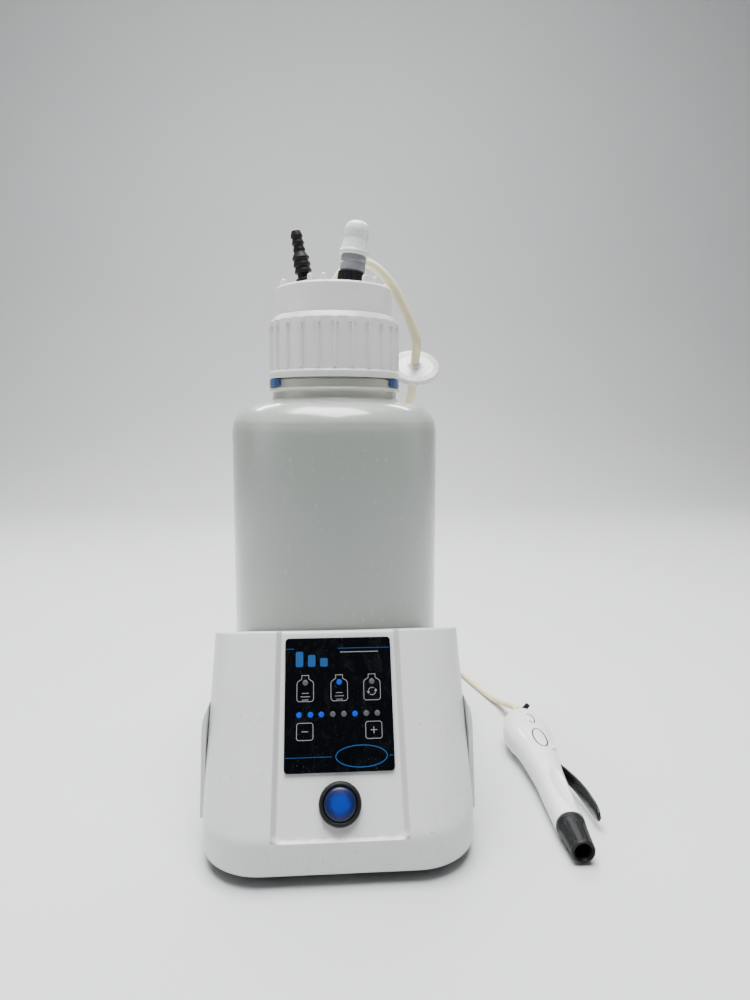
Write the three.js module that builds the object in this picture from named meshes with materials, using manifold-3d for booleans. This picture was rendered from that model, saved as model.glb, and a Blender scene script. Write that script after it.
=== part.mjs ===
// A bench-top fluid aspiration unit: a white pump housing with a control panel, a four-litre
// collection bottle standing in a well, a screw cap with ports, an in-line filter, and a hand
// controller on a silicone tube. Millimetres, +Z up, the front faces -Y, and the bench is z = 0.
// The origin is the middle of the footprint of everything but the free tube.
import * as THREE from "three";
import { mergeVertices } from "three/addons/utils/BufferGeometryUtils.js";
import Module from "manifold-3d";

const wasm = await Module();
wasm.setup();

// ---- Driving dimensions: housing frame, with the bottle's axis at x = 0, y = 0 ----
const ORIGIN = [47.75, 50.3]; // middle of the footprint of everything but the free tube
const GAP = 0.3; // clearance between pieces that touch on the real object
const HOUSING = { front: -155, back: 253, bottom: 8, halfWidth: 94.5, lean: 0.03, wall: 3 };
const FACE = { tilt: THREE.MathUtils.degToRad(28.5), foot: 32.4, recess: 2, wall: 6 };
const DECK_TOP = 166; // top of the pump compartment behind the bottle
const SHIELD_TOP = 150.4; // top edge of the front face
const SHIELD_TOP_Y = -91;
const SEAT = 58; // height of the bottle's underside above the bench
const WELL = { radius: 84.5, wall: 2.3, floor: 3 };
const BOTTLE = { radius: 82.5, wall: 2.6, shoulder: 312, neck: 49.8, thread: 47.8, top: 368 };
const BEAD = { radius: 52.3, bottom: 320.5, top: 323 };
const RING = { radius: 50.9, rib: 52.3, bottom: 330.6, lip: 374.7, top: 378.8, bore: 46.5 };
const HEAD = { radius: 46, top: 401, flange: 370.5 };
const RIBS = 24;
const PORT_LEAN = THREE.MathUtils.degToRad(7.3); // the two front ports splay outwards
const INLET_LEAN = THREE.MathUtils.degToRad(-10.2);
const INLET_AT = [-21.8, -25];
const COUPLING_AT = [12.5, -16];
const VACUUM_AT = [-3, 27];
const VACUUM_LEAN = THREE.MathUtils.degToRad(24); // the hose leaves towards the filter
const PANEL = { width: 73.8, length: 89, foot: 40.4, thickness: 1 };
const BUTTON = { up: 21.2, bezel: 14.05, lens: 10.7 };
const FILTER = { at: [72, 57, 344.5], tilt: THREE.MathUtils.degToRad(42.3), radius: 22.2, hub: 14 };
const HOSE_RADIUS = 4;
const HOSE_BORE = 2.75;
const NOZZLE_AT = [58, 152]; // vacuum inlet on the rear deck
const PUMP = { y: 172, z: 85, throw: 2 }; // crankshaft axis, along x
const HANDSET = { at: [164.47, -145.3, 9.75], yaw: -2.5, pitch: 1.94, nose: 30, end: 202 };
const TRIGGER_PIVOT = [9.5, 121.5]; // across and along the hand controller
const TUBE_RADIUS = 3.5;
const COIL = { x: 20, y: 316, mean: 40, width: 21.4, height: 14.4 };

const FULL_TURN = Math.PI * 2;
const rad = THREE.MathUtils.degToRad;

// ---- Materials ----
const material = (color, roughness, metalness = 0, extra = {}) =>
  new THREE.MeshStandardMaterial({ color, roughness, metalness, ...extra });
const WHITE = material(0xdfe0df, 0.45);
const CAP_WHITE = material(0xf0f0ee, 0.4);
const BLACK = material(0x17181a, 0.5);
const RUBBER = material(0x1b1b1c, 0.85);
const PANEL_BLACK = material(0x050608, 0.15);
const LENS_BLUE = material(0x27356f, 0.3);
const CLEAR_PP = material(0xcdd3cc, 0.4, 0, { transparent: true, opacity: 0.75 });
const GREY_PP = material(0xa4a8ad, 0.35, 0, { transparent: true, opacity: 0.8 });
const SILICONE = material(0xcfc8ad, 0.5);
const BLUE = material(0x1f4f96, 0.45);
const STEEL = material(0x9a9da0, 0.3, 1);
const ALUMINIUM = material(0xb5b8bb, 0.4, 1);
const BOARD = material(0x1d5a34, 0.6);

// ---- Geometry helpers ----

// A closed geometry as a manifold-3d solid that faces outwards.
function solid(geometry) {
  const bare = geometry.index ? geometry.toNonIndexed() : geometry.clone();
  bare.deleteAttribute("normal");
  bare.deleteAttribute("uv");
  const merged = mergeVertices(bare, 1e-4);
  const vertProperties = new Float32Array(merged.attributes.position.array);
  const triVerts = new Uint32Array(merged.index.array);
  const made = new wasm.Manifold(new wasm.Mesh({ numProp: 3, vertProperties, triVerts }));
  if (made.volume() > 0) return made;
  const flipped = triVerts.slice().reverse();
  return new wasm.Manifold(new wasm.Mesh({ numProp: 3, vertProperties, triVerts: flipped }));
}

// A manifold-3d solid as a flat-shaded geometry.
function geometryOf(body) {
  const { vertProperties, triVerts, numProp } = body.getMesh();
  const positions = new Float32Array(triVerts.length * 3);
  triVerts.forEach((vertex, corner) => {
    for (let axis = 0; axis < 3; axis++) {
      positions[corner * 3 + axis] = vertProperties[vertex * numProp + axis];
    }
  });
  const geometry = new THREE.BufferGeometry();
  geometry.setAttribute("position", new THREE.BufferAttribute(positions, 3));
  geometry.computeVertexNormals();
  return geometry;
}

const join = (bodies) => bodies.reduce((whole, body) => whole.add(body));
const placed = (geometry, x, y, z) => geometry.translate(x, y, z);

// A solid of revolution about Z from [radius, height] points.
function turned(points, segments = 20) {
  const profile = points.map(([r, z]) => new THREE.Vector2(r, z));
  const open = profile[0].x > 0 || profile[profile.length - 1].x > 0;
  if (open) profile.push(profile[0].clone());
  return new THREE.LatheGeometry(profile, segments).rotateX(Math.PI / 2);
}

const disc = (radius, bottom, top, segments = 16) =>
  turned([[0, bottom], [radius, bottom], [radius, top], [0, top]], segments);

const washer = (inner, outer, bottom, top, segments = 24) =>
  turned([[inner, bottom], [outer, bottom], [outer, top], [inner, top]], segments);

// A box from its lowest to its highest corner.
function block(low, high) {
  const size = high.map((value, axis) => value - low[axis]);
  const middle = high.map((value, axis) => (value + low[axis]) / 2);
  return new THREE.BoxGeometry(...size).translate(...middle);
}

// A shape with rounded corners, centred on x, from y = 0 up, as wide at each end as stated.
function roundedPlate(bottomWidth, topWidth, length, radius) {
  const shape = new THREE.Shape();
  const [b, t] = [bottomWidth / 2, topWidth / 2];
  shape.moveTo(-b + radius, 0);
  shape.lineTo(b - radius, 0);
  shape.quadraticCurveTo(b, 0, b, radius);
  shape.lineTo(t, length - radius);
  shape.quadraticCurveTo(t, length, t - radius, length);
  shape.lineTo(-t + radius, length);
  shape.quadraticCurveTo(-t, length, -t, length - radius);
  shape.lineTo(-b, radius);
  shape.quadraticCurveTo(-b, 0, -b + radius, 0);
  return shape;
}

// A flat shape given a thickness from one height to another.
function slab(shape, bottom, top, curveSegments = 4) {
  const options = { depth: top - bottom, bevelEnabled: false, curveSegments };
  return new THREE.ExtrudeGeometry(shape, options).translate(0, 0, bottom);
}

// A closed skin through rings of points, each ring with the same number of points.
function loft(rings) {
  const count = rings[0].length;
  const positions = rings.flat().flatMap((point) => [point.x, point.y, point.z]);
  const middle = (ring) => ring.reduce((sum, p) => sum.add(p), new THREE.Vector3()).divideScalar(count);
  const last = rings.length - 1;
  for (const ring of [rings[0], rings[last]]) positions.push(...middle(ring).toArray());
  const [foot, head] = [rings.length * count, rings.length * count + 1];
  const index = [];
  for (let i = 0; i < count; i++) {
    const next = (i + 1) % count;
    for (let r = 0; r < last; r++) {
      const [a, b] = [r * count + i, r * count + next];
      index.push(a, b, b + count, a, b + count, a + count);
    }
    index.push(foot, next, i, head, last * count + i, last * count + next);
  }
  const geometry = new THREE.BufferGeometry();
  geometry.setAttribute("position", new THREE.Float32BufferAttribute(positions, 3));
  geometry.setIndex(index);
  return geometry;
}

// A round bar along a smooth curve through points.
function bar(points, radius, steps, sides = 8) {
  const section = new THREE.Shape();
  for (let i = 0; i <= sides; i++) {
    const angle = (i / sides) * FULL_TURN;
    const [x, y] = [radius * Math.cos(angle), radius * Math.sin(angle)];
    if (i) section.lineTo(x, y);
    else section.moveTo(x, y);
  }
  const extrudePath = new THREE.CatmullRomCurve3(points.map((p) => new THREE.Vector3(...p)));
  return new THREE.ExtrudeGeometry(section, { steps, extrudePath, bevelEnabled: false });
}

// A hose with its bore opened at both ends, as deep as the fittings reach.
function hose(points, steps) {
  const bores = [points.slice(0, 3), points.slice(-3).reverse()].map((end) => {
    const outside = end[0].map((value, axis) => value + (value - end[1][axis]) / 2);
    return solid(bar([outside, ...end], HOSE_BORE, 6));
  });
  return solid(bar(points, HOSE_RADIUS, steps)).subtract(join(bores));
}

// A helical spring about Z.
function coilSpring(radius, wire, bottom, top, turns) {
  const points = [];
  const perTurn = 7;
  for (let i = 0; i <= turns * perTurn; i++) {
    const angle = (i / perTurn) * FULL_TURN;
    const height = bottom + wire + ((top - bottom - 2 * wire) * i) / (turns * perTurn);
    points.push([radius * Math.cos(angle), radius * Math.sin(angle), height]);
  }
  return bar(points, wire, turns * perTurn, 4);
}

const outfit = new THREE.Group();
outfit.position.set(-ORIGIN[0], -ORIGIN[1], 0);

function piece(name, shape, finish, parent = outfit) {
  const geometry = shape.isBufferGeometry ? geometryOf(solid(shape)) : geometryOf(shape);
  const mesh = new THREE.Mesh(geometry, finish);
  mesh.name = name;
  parent.add(mesh);
  return mesh;
}

// A nested frame in the housing's axes, whose matrix is ready for placing points.
function frameAt([x, y, z], rotation = {}, parent = outfit) {
  const frame = new THREE.Group();
  frame.position.set(x, y, z);
  frame.rotation.set(rotation.x ?? 0, rotation.y ?? 0, rotation.z ?? 0);
  frame.updateMatrix();
  parent.add(frame);
  return frame;
}

// ---- Housing ----

const faceY = (z) => HOUSING.front + Math.max(0, z - FACE.foot) * Math.tan(FACE.tilt);
const halfWidth = (z) => HOUSING.halfWidth - HOUSING.lean * z;

// The plan outline of the housing at height z, drawn in by an inset.
function planRing(z, side, front, back) {
  const x = halfWidth(z) - side;
  const [y0, y1] = [faceY(z) + front, HOUSING.back - back - Math.max(0, z - 20) * 0.03];
  const corner = 44 - z * 0.06 - side;
  const centres = [
    [x - corner, y0 + corner, 270],
    [x - corner, y1 - corner, 0],
    [-x + corner, y1 - corner, 90],
    [-x + corner, y0 + corner, 180],
  ];
  const steps = 4;
  return centres.flatMap(([cx, cy, start]) =>
    Array.from({ length: steps + 1 }, (_, i) => {
      const angle = rad(start + (90 * i) / steps);
      return new THREE.Vector3(cx + corner * Math.cos(angle), cy + corner * Math.sin(angle), z);
    }),
  );
}

// Everything above the housing's top line, which sweeps down beside the bottle.
function aboveTopLine(drop) {
  const line = new THREE.SplineCurve(
    [
      [SHIELD_TOP_Y, SHIELD_TOP],
      [-57, 140.4],
      [-25, 127],
      [12, 114],
      [50, 112],
      [80, 127],
      [100, 150],
      [118, 163],
      [140, DECK_TOP],
    ].map(([y, z]) => new THREE.Vector2(y, z - drop)),
  );
  const shape = new THREE.Shape();
  const [far, high] = [400, 260];
  shape.moveTo(-far, high);
  shape.lineTo(-far, SHIELD_TOP - drop + (far + SHIELD_TOP_Y) * 0.2);
  for (const point of line.getPoints(16)) shape.lineTo(point.x, point.y);
  shape.lineTo(HOUSING.back - 24, DECK_TOP - drop);
  shape.lineTo(HOUSING.back - 8, DECK_TOP - 4 - drop);
  shape.lineTo(HOUSING.back + 4, DECK_TOP - 14 - drop);
  shape.lineTo(far, DECK_TOP - 14 - drop);
  shape.lineTo(far, high);
  // The shape is drawn as (y, z) and stands across the housing.
  const width = 240;
  const cut = new THREE.ExtrudeGeometry(shape, { depth: width, bevelEnabled: false });
  return cut.rotateX(Math.PI / 2).rotateZ(Math.PI / 2).translate(-width / 2, 0, 0);
}

const levels = (foot) => [foot, 20, FACE.foot, DECK_TOP + 2];
const easedEdge = [[HOUSING.bottom, 3.2], [HOUSING.bottom + 1.3, 1.3], [HOUSING.bottom + 4.5, 0]];
const easedRings = easedEdge.map(([z, inset]) => planRing(z, inset, inset, inset));
const wallRings = levels(HOUSING.bottom).slice(1).map((z) => planRing(z, 0, 0, 0));
const outer = solid(loft([...easedRings, ...wallRings]));
const inner = solid(loft(levels(0).map((z) => planRing(z, HOUSING.wall, FACE.wall, HOUSING.wall))));
const tall = 300;
const wellOutside = solid(disc(WELL.radius + WELL.wall, SEAT - WELL.floor, tall, 28));
const wellInside = solid(disc(WELL.radius, SEAT, tall, 28));
const cavity = inner.subtract(solid(aboveTopLine(3.2))).subtract(wellOutside);

// The front face has its own frame: x across, y up the slope, z out of the face.
const faceFrame = frameAt([0, HOUSING.front, FACE.foot], { x: Math.PI / 2 - FACE.tilt });
const onFace = (geometry) => geometry.applyMatrix4(faceFrame.matrix);

const RECESS = { foot: -2.3, length: 146, bottomWidth: 90, topWidth: 86.4, corner: 5 };
const recessShape = roundedPlate(RECESS.bottomWidth, RECESS.topWidth, RECESS.length, RECESS.corner);
const recess = solid(onFace(placed(slab(recessShape, -FACE.recess, 10), 0, RECESS.foot, 0)));
const buttonHole = solid(onFace(placed(disc(BUTTON.bezel - 0.9, -30, 10, 24), 0, BUTTON.up, 0)));
const ribbonSlot = solid(onFace(block([-12, 70, -20], [12, 76, 0])));
const inletCutOut = solid(block([-62, 240, 22], [-31.4, 260, 46.8]));
const deckHole = solid(placed(disc(4.6, 150, 180, 20), ...NOZZLE_AT, 0));
const ventSlots = join(
  Array.from({ length: 6 }, (_, i) => solid(block([-48, 240, 92 + i * 8], [48, 260, 95.4 + i * 8]))),
);
const SCREW_X = 86.8;
const SCREW_Y = [-96, 196];
const SCREWS = [-SCREW_X, SCREW_X].flatMap((x) => SCREW_Y.map((y) => [x, y]));
const screwBosses = join(SCREWS.map(([x, y]) => solid(placed(disc(4.6, 9.5, 52, 12), x, y, 0))));
const screwHoles = join(SCREWS.map(([x, y]) => solid(placed(disc(1.9, 0, 24, 12), x, y, 0))));

const shell = outer
  .subtract(solid(aboveTopLine(0)))
  .subtract(cavity)
  .subtract(wellInside)
  .add(screwBosses)
  .subtract(screwHoles)
  .subtract(recess)
  .subtract(buttonHole)
  .subtract(ribbonSlot)
  .subtract(inletCutOut)
  .subtract(deckHole)
  .subtract(ventSlots);
piece("housing_shell", shell, WHITE);

// ---- Underside: base plate, feet and screws ----

const PLATE_BOTTOM = 5.6;
const PLATE_TOP = 9;
const PLATE_INSET = { side: HOUSING.wall + 0.5, front: HOUSING.wall + 4 };
const plateRing = (z) =>
  planRing(10, PLATE_INSET.side, PLATE_INSET.front, PLATE_INSET.side).map((point) => point.setZ(z));
const plateVents = join(
  Array.from({ length: 4 }, (_, i) => solid(block([-40, 150 + i * 14, 0], [40, 155 + i * 14, 10]))),
);
const basePlate = solid(loft([plateRing(PLATE_BOTTOM), plateRing(PLATE_TOP)]))
  .subtract(plateVents)
  .subtract(screwHoles);
piece("base_plate", basePlate, BLACK);

const CORNERS = [["front_left", -1, 0], ["front_right", 1, 0], ["rear_left", -1, 1], ["rear_right", 1, 1]];
for (const [corner, side, rear] of CORNERS) {
  const foot = turned([[0, 0], [8, 0], [9, 1], [9, 5.3], [0, 5.3]], 12);
  piece(`foot_${corner}`, foot, RUBBER).position.set(side * 72, rear ? 200 : -112, 0);
  const screw = turned([[0, 3.3], [2.6, 3.3], [3.2, 3.9], [3.2, 5.3], [1.5, 5.3], [1.5, 20], [0, 21]], 6);
  piece(`base_screw_${corner}`, screw, STEEL).position.set(side * SCREW_X, SCREW_Y[rear], 0);
}

// ---- Side grips, with a cut edge to lift the unit by ----

function sideGrip(name, side) {
  const outline = new THREE.Shape();
  const clear = 0.35;
  const [foot, top] = [20.5, 98];
  outline.moveTo(halfWidth(foot) + clear, foot);
  outline.lineTo(98.2, foot);
  outline.lineTo(95.8, 74);
  outline.quadraticCurveTo(95.3, 88, halfWidth(top) + clear + 0.4, top);
  outline.lineTo(halfWidth(top) + clear, top);
  const length = 132;
  const grip = new THREE.ExtrudeGeometry(outline, { depth: length, bevelEnabled: false, curveSegments: 5 });
  grip.rotateX(Math.PI / 2).translate(0, -104 + length, 0);
  if (side < 0) grip.rotateZ(Math.PI).translate(0, 2 * -104 + length, 0);
  piece(name, grip, WHITE);
}
sideGrip("side_grip_left", -1);
sideGrip("side_grip_right", 1);

// ---- Control panel, button and the board behind them ----

const panelPlate = slab(roundedPlate(PANEL.width, PANEL.width, PANEL.length, 2.6), 0, PANEL.thickness);
piece("control_panel", placed(panelPlate, 0, PANEL.foot, -FACE.recess + 0.1), PANEL_BLACK, faceFrame);

const buttonFrame = frameAt([0, BUTTON.up, 0], {}, faceFrame);
const bezel = turned([
  [11.1, -18],
  [12.6, -18],
  [12.6, -FACE.recess + 0.1],
  [BUTTON.bezel, -FACE.recess + 0.1],
  [BUTTON.bezel, 1.2],
  [13.2, 2.4],
  [11.6, 2.6],
  [11.1, 1.8],
]);
piece("button_bezel", bezel, BLACK, buttonFrame);
const buttonCap = turned([
  [0, -11],
  [BUTTON.lens, -11],
  [BUTTON.lens, 2.4],
  [9.8, 3.7],
  [6, 4.5],
  [0, 4.8],
], 24);
piece("power_button", buttonCap, LENS_BLUE, buttonFrame);
piece("button_spring", coilSpring(6, 0.5, -18.6, -11.3, 4), STEEL, buttonFrame);
const switchBody = solid(block([-9, -9, -30], [9, 9, -19])).add(solid(disc(3, -19.5, -14.5, 12)));
piece("button_switch", switchBody, BLACK, buttonFrame);

const LED_ROW = { y: 77, first: -24.5, pitch: 7, count: 8 };
const ledAt = Array.from({ length: LED_ROW.count }, (_, i) => [
  LED_ROW.first + i * LED_ROW.pitch,
  LED_ROW.y,
]);
ledAt.push(...[-22, 0, 22].map((x) => [x, 104]));
const led = ([x, y]) => solid(block([x - 1, y - 1, -9], [x + 1, y + 1, -7.4]));
const board = solid(block([-36, 45, -10.2], [36, 118, -8.6]));
piece("control_board", board.add(join(ledAt.map(led))), BOARD, faceFrame);

// ---- Electrics and the rear face ----

piece("power_supply", block([-58, -52, 10], [58, 44, 48]), ALUMINIUM);

const inletShell = solid(block([-62 + GAP, 232, 22 + GAP], [-31.4 - GAP, 254, 46.8 - GAP]))
  .add(solid(block([-66, 253.3, 19], [-27.4, 255.6, 49.8])))
  .subtract(solid(block([-58.9, 236, 26.1], [-34.5, 260, 42.7])));
const PIN_AT = [[-52.7, 31], [-46.7, 38], [-40.7, 31]];
const inletPin = ([x, z]) => solid(block([x - 1, 235, z - 2], [x + 1, 246, z + 2]));
const inletPins = join(PIN_AT.map(inletPin));
piece("power_inlet", inletShell.add(inletPins), BLACK);

const nozzle = turned([
  [1.5, -11],
  [4.2, -11],
  [4.2, GAP],
  [7, GAP],
  [7, 2.6],
  [2.3, 2.6],
  [2.3, 16],
  [1.5, 16],
], 16);
piece("pump_inlet_nozzle", nozzle, BLACK).position.set(...NOZZLE_AT, DECK_TOP);

// ---- Diaphragm pump: motor along x, crankcase and head above the crank ----

const pumpFrame = frameAt([0, PUMP.y, PUMP.z]);
const alongX = (geometry) => geometry.rotateY(Math.PI / 2);
const bracket = solid(block([-80, -38, -75.7], [70, 38, -72.7]))
  .add(solid(block([-3, -36, -74], [3, 36, 36])))
  .subtract(solid(alongX(disc(9, -10, 10, 20))));
piece("pump_bracket", bracket, STEEL, pumpFrame);

const motor = alongX(turned([[4.5, -74], [28, -74], [33, -69], [33, -3.3], [4.5, -3.3]], 20));
piece("motor", motor, STEEL, pumpFrame);
const BLADES = 7;
const blade = (i) => solid(block([-83, -1, 8], [-76, 1, 26]).rotateX((i / BLADES) * FULL_TURN));
const blades = Array.from({ length: BLADES }, (_, i) => blade(i));
const fanHub = solid(alongX(washer(4.3, 10, -83, -76, 20)));
piece("cooling_fan", join([fanHub, ...blades]), BLACK, pumpFrame);
const eccentric = solid(placed(alongX(disc(8, 26, 38, 24)), 0, 0, PUMP.throw));
piece("crankshaft", eccentric.add(solid(alongX(disc(4, -84, 56, 16)))), STEEL, pumpFrame);
const bearing = alongX(washer(8.3, 10.4, 27.5, 36.5, 24));
piece("crank_bearing", placed(bearing, 0, 0, PUMP.throw), STEEL, pumpFrame);

const crankcase = solid(block([3.3, -30, -34], [61, 30, 40]))
  .subtract(solid(block([7.3, -25, -30], [57, 25, 36])))
  .subtract(solid(placed(disc(22, 30, 50, 24), 32, 0, 0)))
  .subtract(solid(alongX(disc(6, 0, 70, 20))));
piece("crankcase", crankcase, ALUMINIUM, pumpFrame);
const rodRing = solid(placed(alongX(washer(14.9, 18.4, 27.5, 36.5, 20)), 0, 0, PUMP.throw));
const rodPlate = solid(placed(disc(12, 37, 40, 16), 32, 0, 0));
const rodStem = solid(block([28.5, -5, 19], [35.5, 5, 38])).add(rodPlate);
piece("connecting_rod", rodRing.add(rodStem), ALUMINIUM, pumpFrame);
piece("diaphragm", placed(disc(27, 40.3, 42.3, 20), 32, 0, 0), RUBBER, pumpFrame);
const headScrewAt = [7, 57].flatMap((x) => [-25, 25].map((y) => [x, y]));
const headHoles = join(headScrewAt.map(([x, y]) => solid(placed(disc(2.2, 38, 72, 8), x, y, 0))));
const headBlock = (low, high) => solid(block([3.3, -29, low], [60.7, 29, high])).subtract(headHoles);
const pumpPorts = join([20, 44].map((x) => solid(placed(disc(2.4, 63, 71, 12), x, 0, 0))));
const headPlate = headBlock(42.6, 55)
  .subtract(solid(placed(disc(8, 50, 56, 16), 20, 0, 0)))
  .subtract(solid(placed(disc(8, 50, 56, 16), 44, 0, 0)));
piece("pump_head_plate", headPlate, ALUMINIUM, pumpFrame);
const valves = [20, 44].map((x) => solid(placed(disc(7.5, 50.3, 55.6, 16), x, 0, 0)));
piece("valve_gasket", join([headBlock(55.3, 56.4), ...valves]), RUBBER, pumpFrame);
piece("pump_head_cover", headBlock(56.7, 65).add(pumpPorts), BLACK, pumpFrame);

// ---- Collection bottle, standing in the well ----

const shoulderArc = (radius, height, size, steps = 4) =>
  Array.from({ length: steps + 1 }, (_, i) => {
    const angle = rad((90 * i) / steps);
    return [radius - size + size * Math.cos(angle), height - size + size * Math.sin(angle)];
  });
const B = BOTTLE;
const bottleProfile = [
  [0, SEAT],
  [74, SEAT],
  [80, SEAT + 2.4],
  [B.radius, SEAT + 8],
  ...shoulderArc(B.radius, B.shoulder, 24),
  [52, B.shoulder + 0.6],
  [B.neck, B.shoulder + 3],
  [B.neck, BEAD.bottom - 0.6],
  [BEAD.radius, BEAD.bottom],
  [BEAD.radius, BEAD.top],
  [B.neck, BEAD.top],
  [B.neck, RING.bottom - 1.6],
  [B.thread, RING.bottom - 0.6],
  [B.thread, B.top],
  [44.6, B.top],
  [44.6, B.shoulder],
  [50, B.shoulder - 2.6],
  ...shoulderArc(B.radius - B.wall, B.shoulder - B.wall, 22).reverse(),
  [B.radius - B.wall, SEAT + 8.4],
  [78, SEAT + 4.4],
  [73, SEAT + B.wall],
  [0, SEAT + B.wall],
];
piece("bottle", turned(bottleProfile, 28), CLEAR_PP);

// A snap-on neck clip that leaves the front of the neck open.
const CLIP_OPENING = rad(112);
const clipRing = new THREE.Shape();
const clipArc = [FULL_TURN * 0.75 + CLIP_OPENING / 2, FULL_TURN * 1.75 - CLIP_OPENING / 2];
clipRing.absarc(0, 0, 52, ...clipArc, false);
clipRing.absarc(0, 0, 50.2, clipArc[1], clipArc[0], true);
piece("neck_clip", slab(clipRing, BEAD.top + GAP, RING.bottom - GAP, 14), BLUE);

// ---- Screw cap: union ring, slip washer, head with ports, gasket ----

const ringBody = solid(
  turned([
    [48.6, RING.bottom],
    [RING.rib, RING.bottom],
    [RING.rib, RING.bottom + 5.8],
    [RING.radius, RING.bottom + 6.6],
    [RING.radius, 374.4],
    [47.4, 378.2],
    [47, RING.top],
    [RING.bore, RING.top],
    [RING.bore, RING.lip],
    [48.6, RING.lip],
  ], 24),
);
const rib = (i) => {
  const bar = block([RING.radius - 0.8, -1.2, RING.bottom + 5], [RING.rib, 1.2, 374]);
  return solid(bar.rotateZ((i / RIBS) * FULL_TURN));
};
const ribs = join(Array.from({ length: RIBS }, (_, i) => rib(i)));
piece("screw_ring", ringBody.add(ribs), CAP_WHITE);
piece("slip_washer", washer(RING.bore, 47.6, 373.5, 374.3), CLEAR_PP);
piece("cap_gasket", washer(42.8, 47.4, B.top + 0.2, B.top + 2.2), RUBBER);

const headBody = solid(
  turned([
    [0, HEAD.top],
    [44.8, HEAD.top],
    [HEAD.radius, HEAD.top - 1.2],
    [HEAD.radius, 373.2],
    [47.9, 373.2],
    [47.9, HEAD.flange],
    [42.3, HEAD.flange],
    [42.3, 360],
    [39.5, 360],
    [39.5, 396.5],
    [0, 396.5],
  ], 24),
);
const PIN = { radius: 2.2, circle: 41, height: 5.8 };
const PIN_ANGLES = Array.from({ length: 6 }, (_, i) => [-26.4 + 60 * i, -11.6 + 60 * i]).flat();
const pin = (degrees) => {
  const peg = turned([[0, -1], [PIN.radius, -1], [PIN.radius - 0.4, PIN.height - 1.6], [0, PIN.height]], 6);
  const angle = rad(degrees - 90);
  return solid(placed(peg, PIN.circle * Math.cos(angle), PIN.circle * Math.sin(angle), HEAD.top));
};
const onHead = ([x, y], lean, geometry) => solid(placed(geometry.rotateY(lean), x, y, HEAD.top));
const boss = (at, lean, radius, top) => onHead(at, lean, disc(radius, -3.4, top, 20));
const portHole = (at, lean, radius) => onHead(at, lean, disc(radius, -30, 20, 16));
const head = headBody
  .add(join(PIN_ANGLES.map(pin)))
  .add(boss(INLET_AT, INLET_LEAN, 8, 1.5))
  .add(boss(COUPLING_AT, PORT_LEAN, 12, 1.8))
  .add(boss(VACUUM_AT, VACUUM_LEAN, 7, 3.9))
  .subtract(portHole(INLET_AT, INLET_LEAN, 4.1))
  .subtract(portHole(COUPLING_AT, PORT_LEAN, 6.4))
  .subtract(portHole(VACUUM_AT, VACUUM_LEAN, 3.4));
piece("cap_head", head, CAP_WHITE);

// Stepped inlet barb: three wide steps under three narrow ones.
const inletFrame = frameAt([...INLET_AT, HEAD.top], { y: INLET_LEAN });
const BARB_STEPS = [
  // [foot, widest radius, narrowest radius, length]
  [8, 6.6, 5.5, 5],
  [13, 6.6, 5.5, 5],
  [18, 6.6, 4.2, 6],
  [24, 4.7, 3.7, 5],
  [29, 4.7, 3.7, 5],
  [34, 4.7, 3.4, 5.5],
];
const barbProfile = [[1.9, -14], [3.8, -14], [3.8, 1.9], [6.6, 2.8], [6.6, 4], [4.6, 4.4], [4.6, 8]];
for (const [foot, wide, narrow, length] of BARB_STEPS) {
  barbProfile.push([wide, foot + 0.5], [narrow, foot + length]);
}
barbProfile.push([1.9, 39.5]);
piece("inlet_barb", turned(barbProfile, 12), BLACK, inletFrame);

// Inlet coupling: knurled nut, translucent socket and a push-on closure.
const couplingFrame = frameAt([...COUPLING_AT, HEAD.top], { y: PORT_LEAN });
const socket = turned([
  [3, -14],
  [6, -14],
  [6, 2.2],
  [8, 2.6],
  [8, 11],
  [9.7, 11.3],
  [9.7, 23],
  [8.7, 23],
  [8.7, 13],
  [3, 13],
], 20);
piece("coupling_socket", socket, GREY_PP, couplingFrame);
const nutRing = solid(washer(8.3, 9.9, 2.9, 10.8, 20));
const KNURLS = 12;
const knurl = (i) => solid(block([9.2, -0.8, 3.3], [10.5, 0.8, 10.4]).rotateZ((i / KNURLS) * FULL_TURN));
const knurls = join(Array.from({ length: KNURLS }, (_, i) => knurl(i)));
piece("coupling_nut", nutRing.add(knurls), BLACK, couplingFrame);
const closure = turned([
  [0, 14],
  [8.3, 14],
  [8.3, 23.4],
  [11.8, 23.4],
  [11.8, 26.2],
  [9.1, 35.4],
  [9.6, 38.6],
  [9.5, 42.4],
  [8.4, 46.2],
  [5.8, 49],
  [0, 49.6],
], 20);
piece("coupling_closure", closure, CLEAR_PP, couplingFrame);

// Vacuum side of the head, with the drip tube and the hose to the filter.
const vacuumNozzle = turned([
  [1.5, -10],
  [3.1, -10],
  [3.1, 4.2],
  [6.2, 4.2],
  [6.2, 5.4],
  [2.3, 5.4],
  [2.3, 14],
  [1.5, 14],
], 16);
const vacuumFrame = frameAt([...VACUUM_AT, HEAD.top], { y: VACUUM_LEAN });
piece("vacuum_nozzle", vacuumNozzle, CLEAR_PP, vacuumFrame);

const filterFrame = frameAt(FILTER.at, { x: FILTER.tilt });
const R = FILTER.radius;
const filterHalf = turned([
  [1.5, 0.9],
  [19.4, 0.9],
  [19.4, 0.2],
  [R, 0.2],
  [R, 2.4],
  [7, 3.8],
  [4.4, FILTER.hub - 8],
  [2.3, FILTER.hub - 7.6],
  [2.3, FILTER.hub + 2],
  [1.5, FILTER.hub + 2],
], 20);
piece("filter_upper_shell", filterHalf, CAP_WHITE, filterFrame);
piece("filter_lower_shell", filterHalf.clone().rotateX(Math.PI), CAP_WHITE, filterFrame);
piece("filter_membrane", disc(19, -0.6, 0.6, 32), CLEAR_PP, filterFrame);

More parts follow.
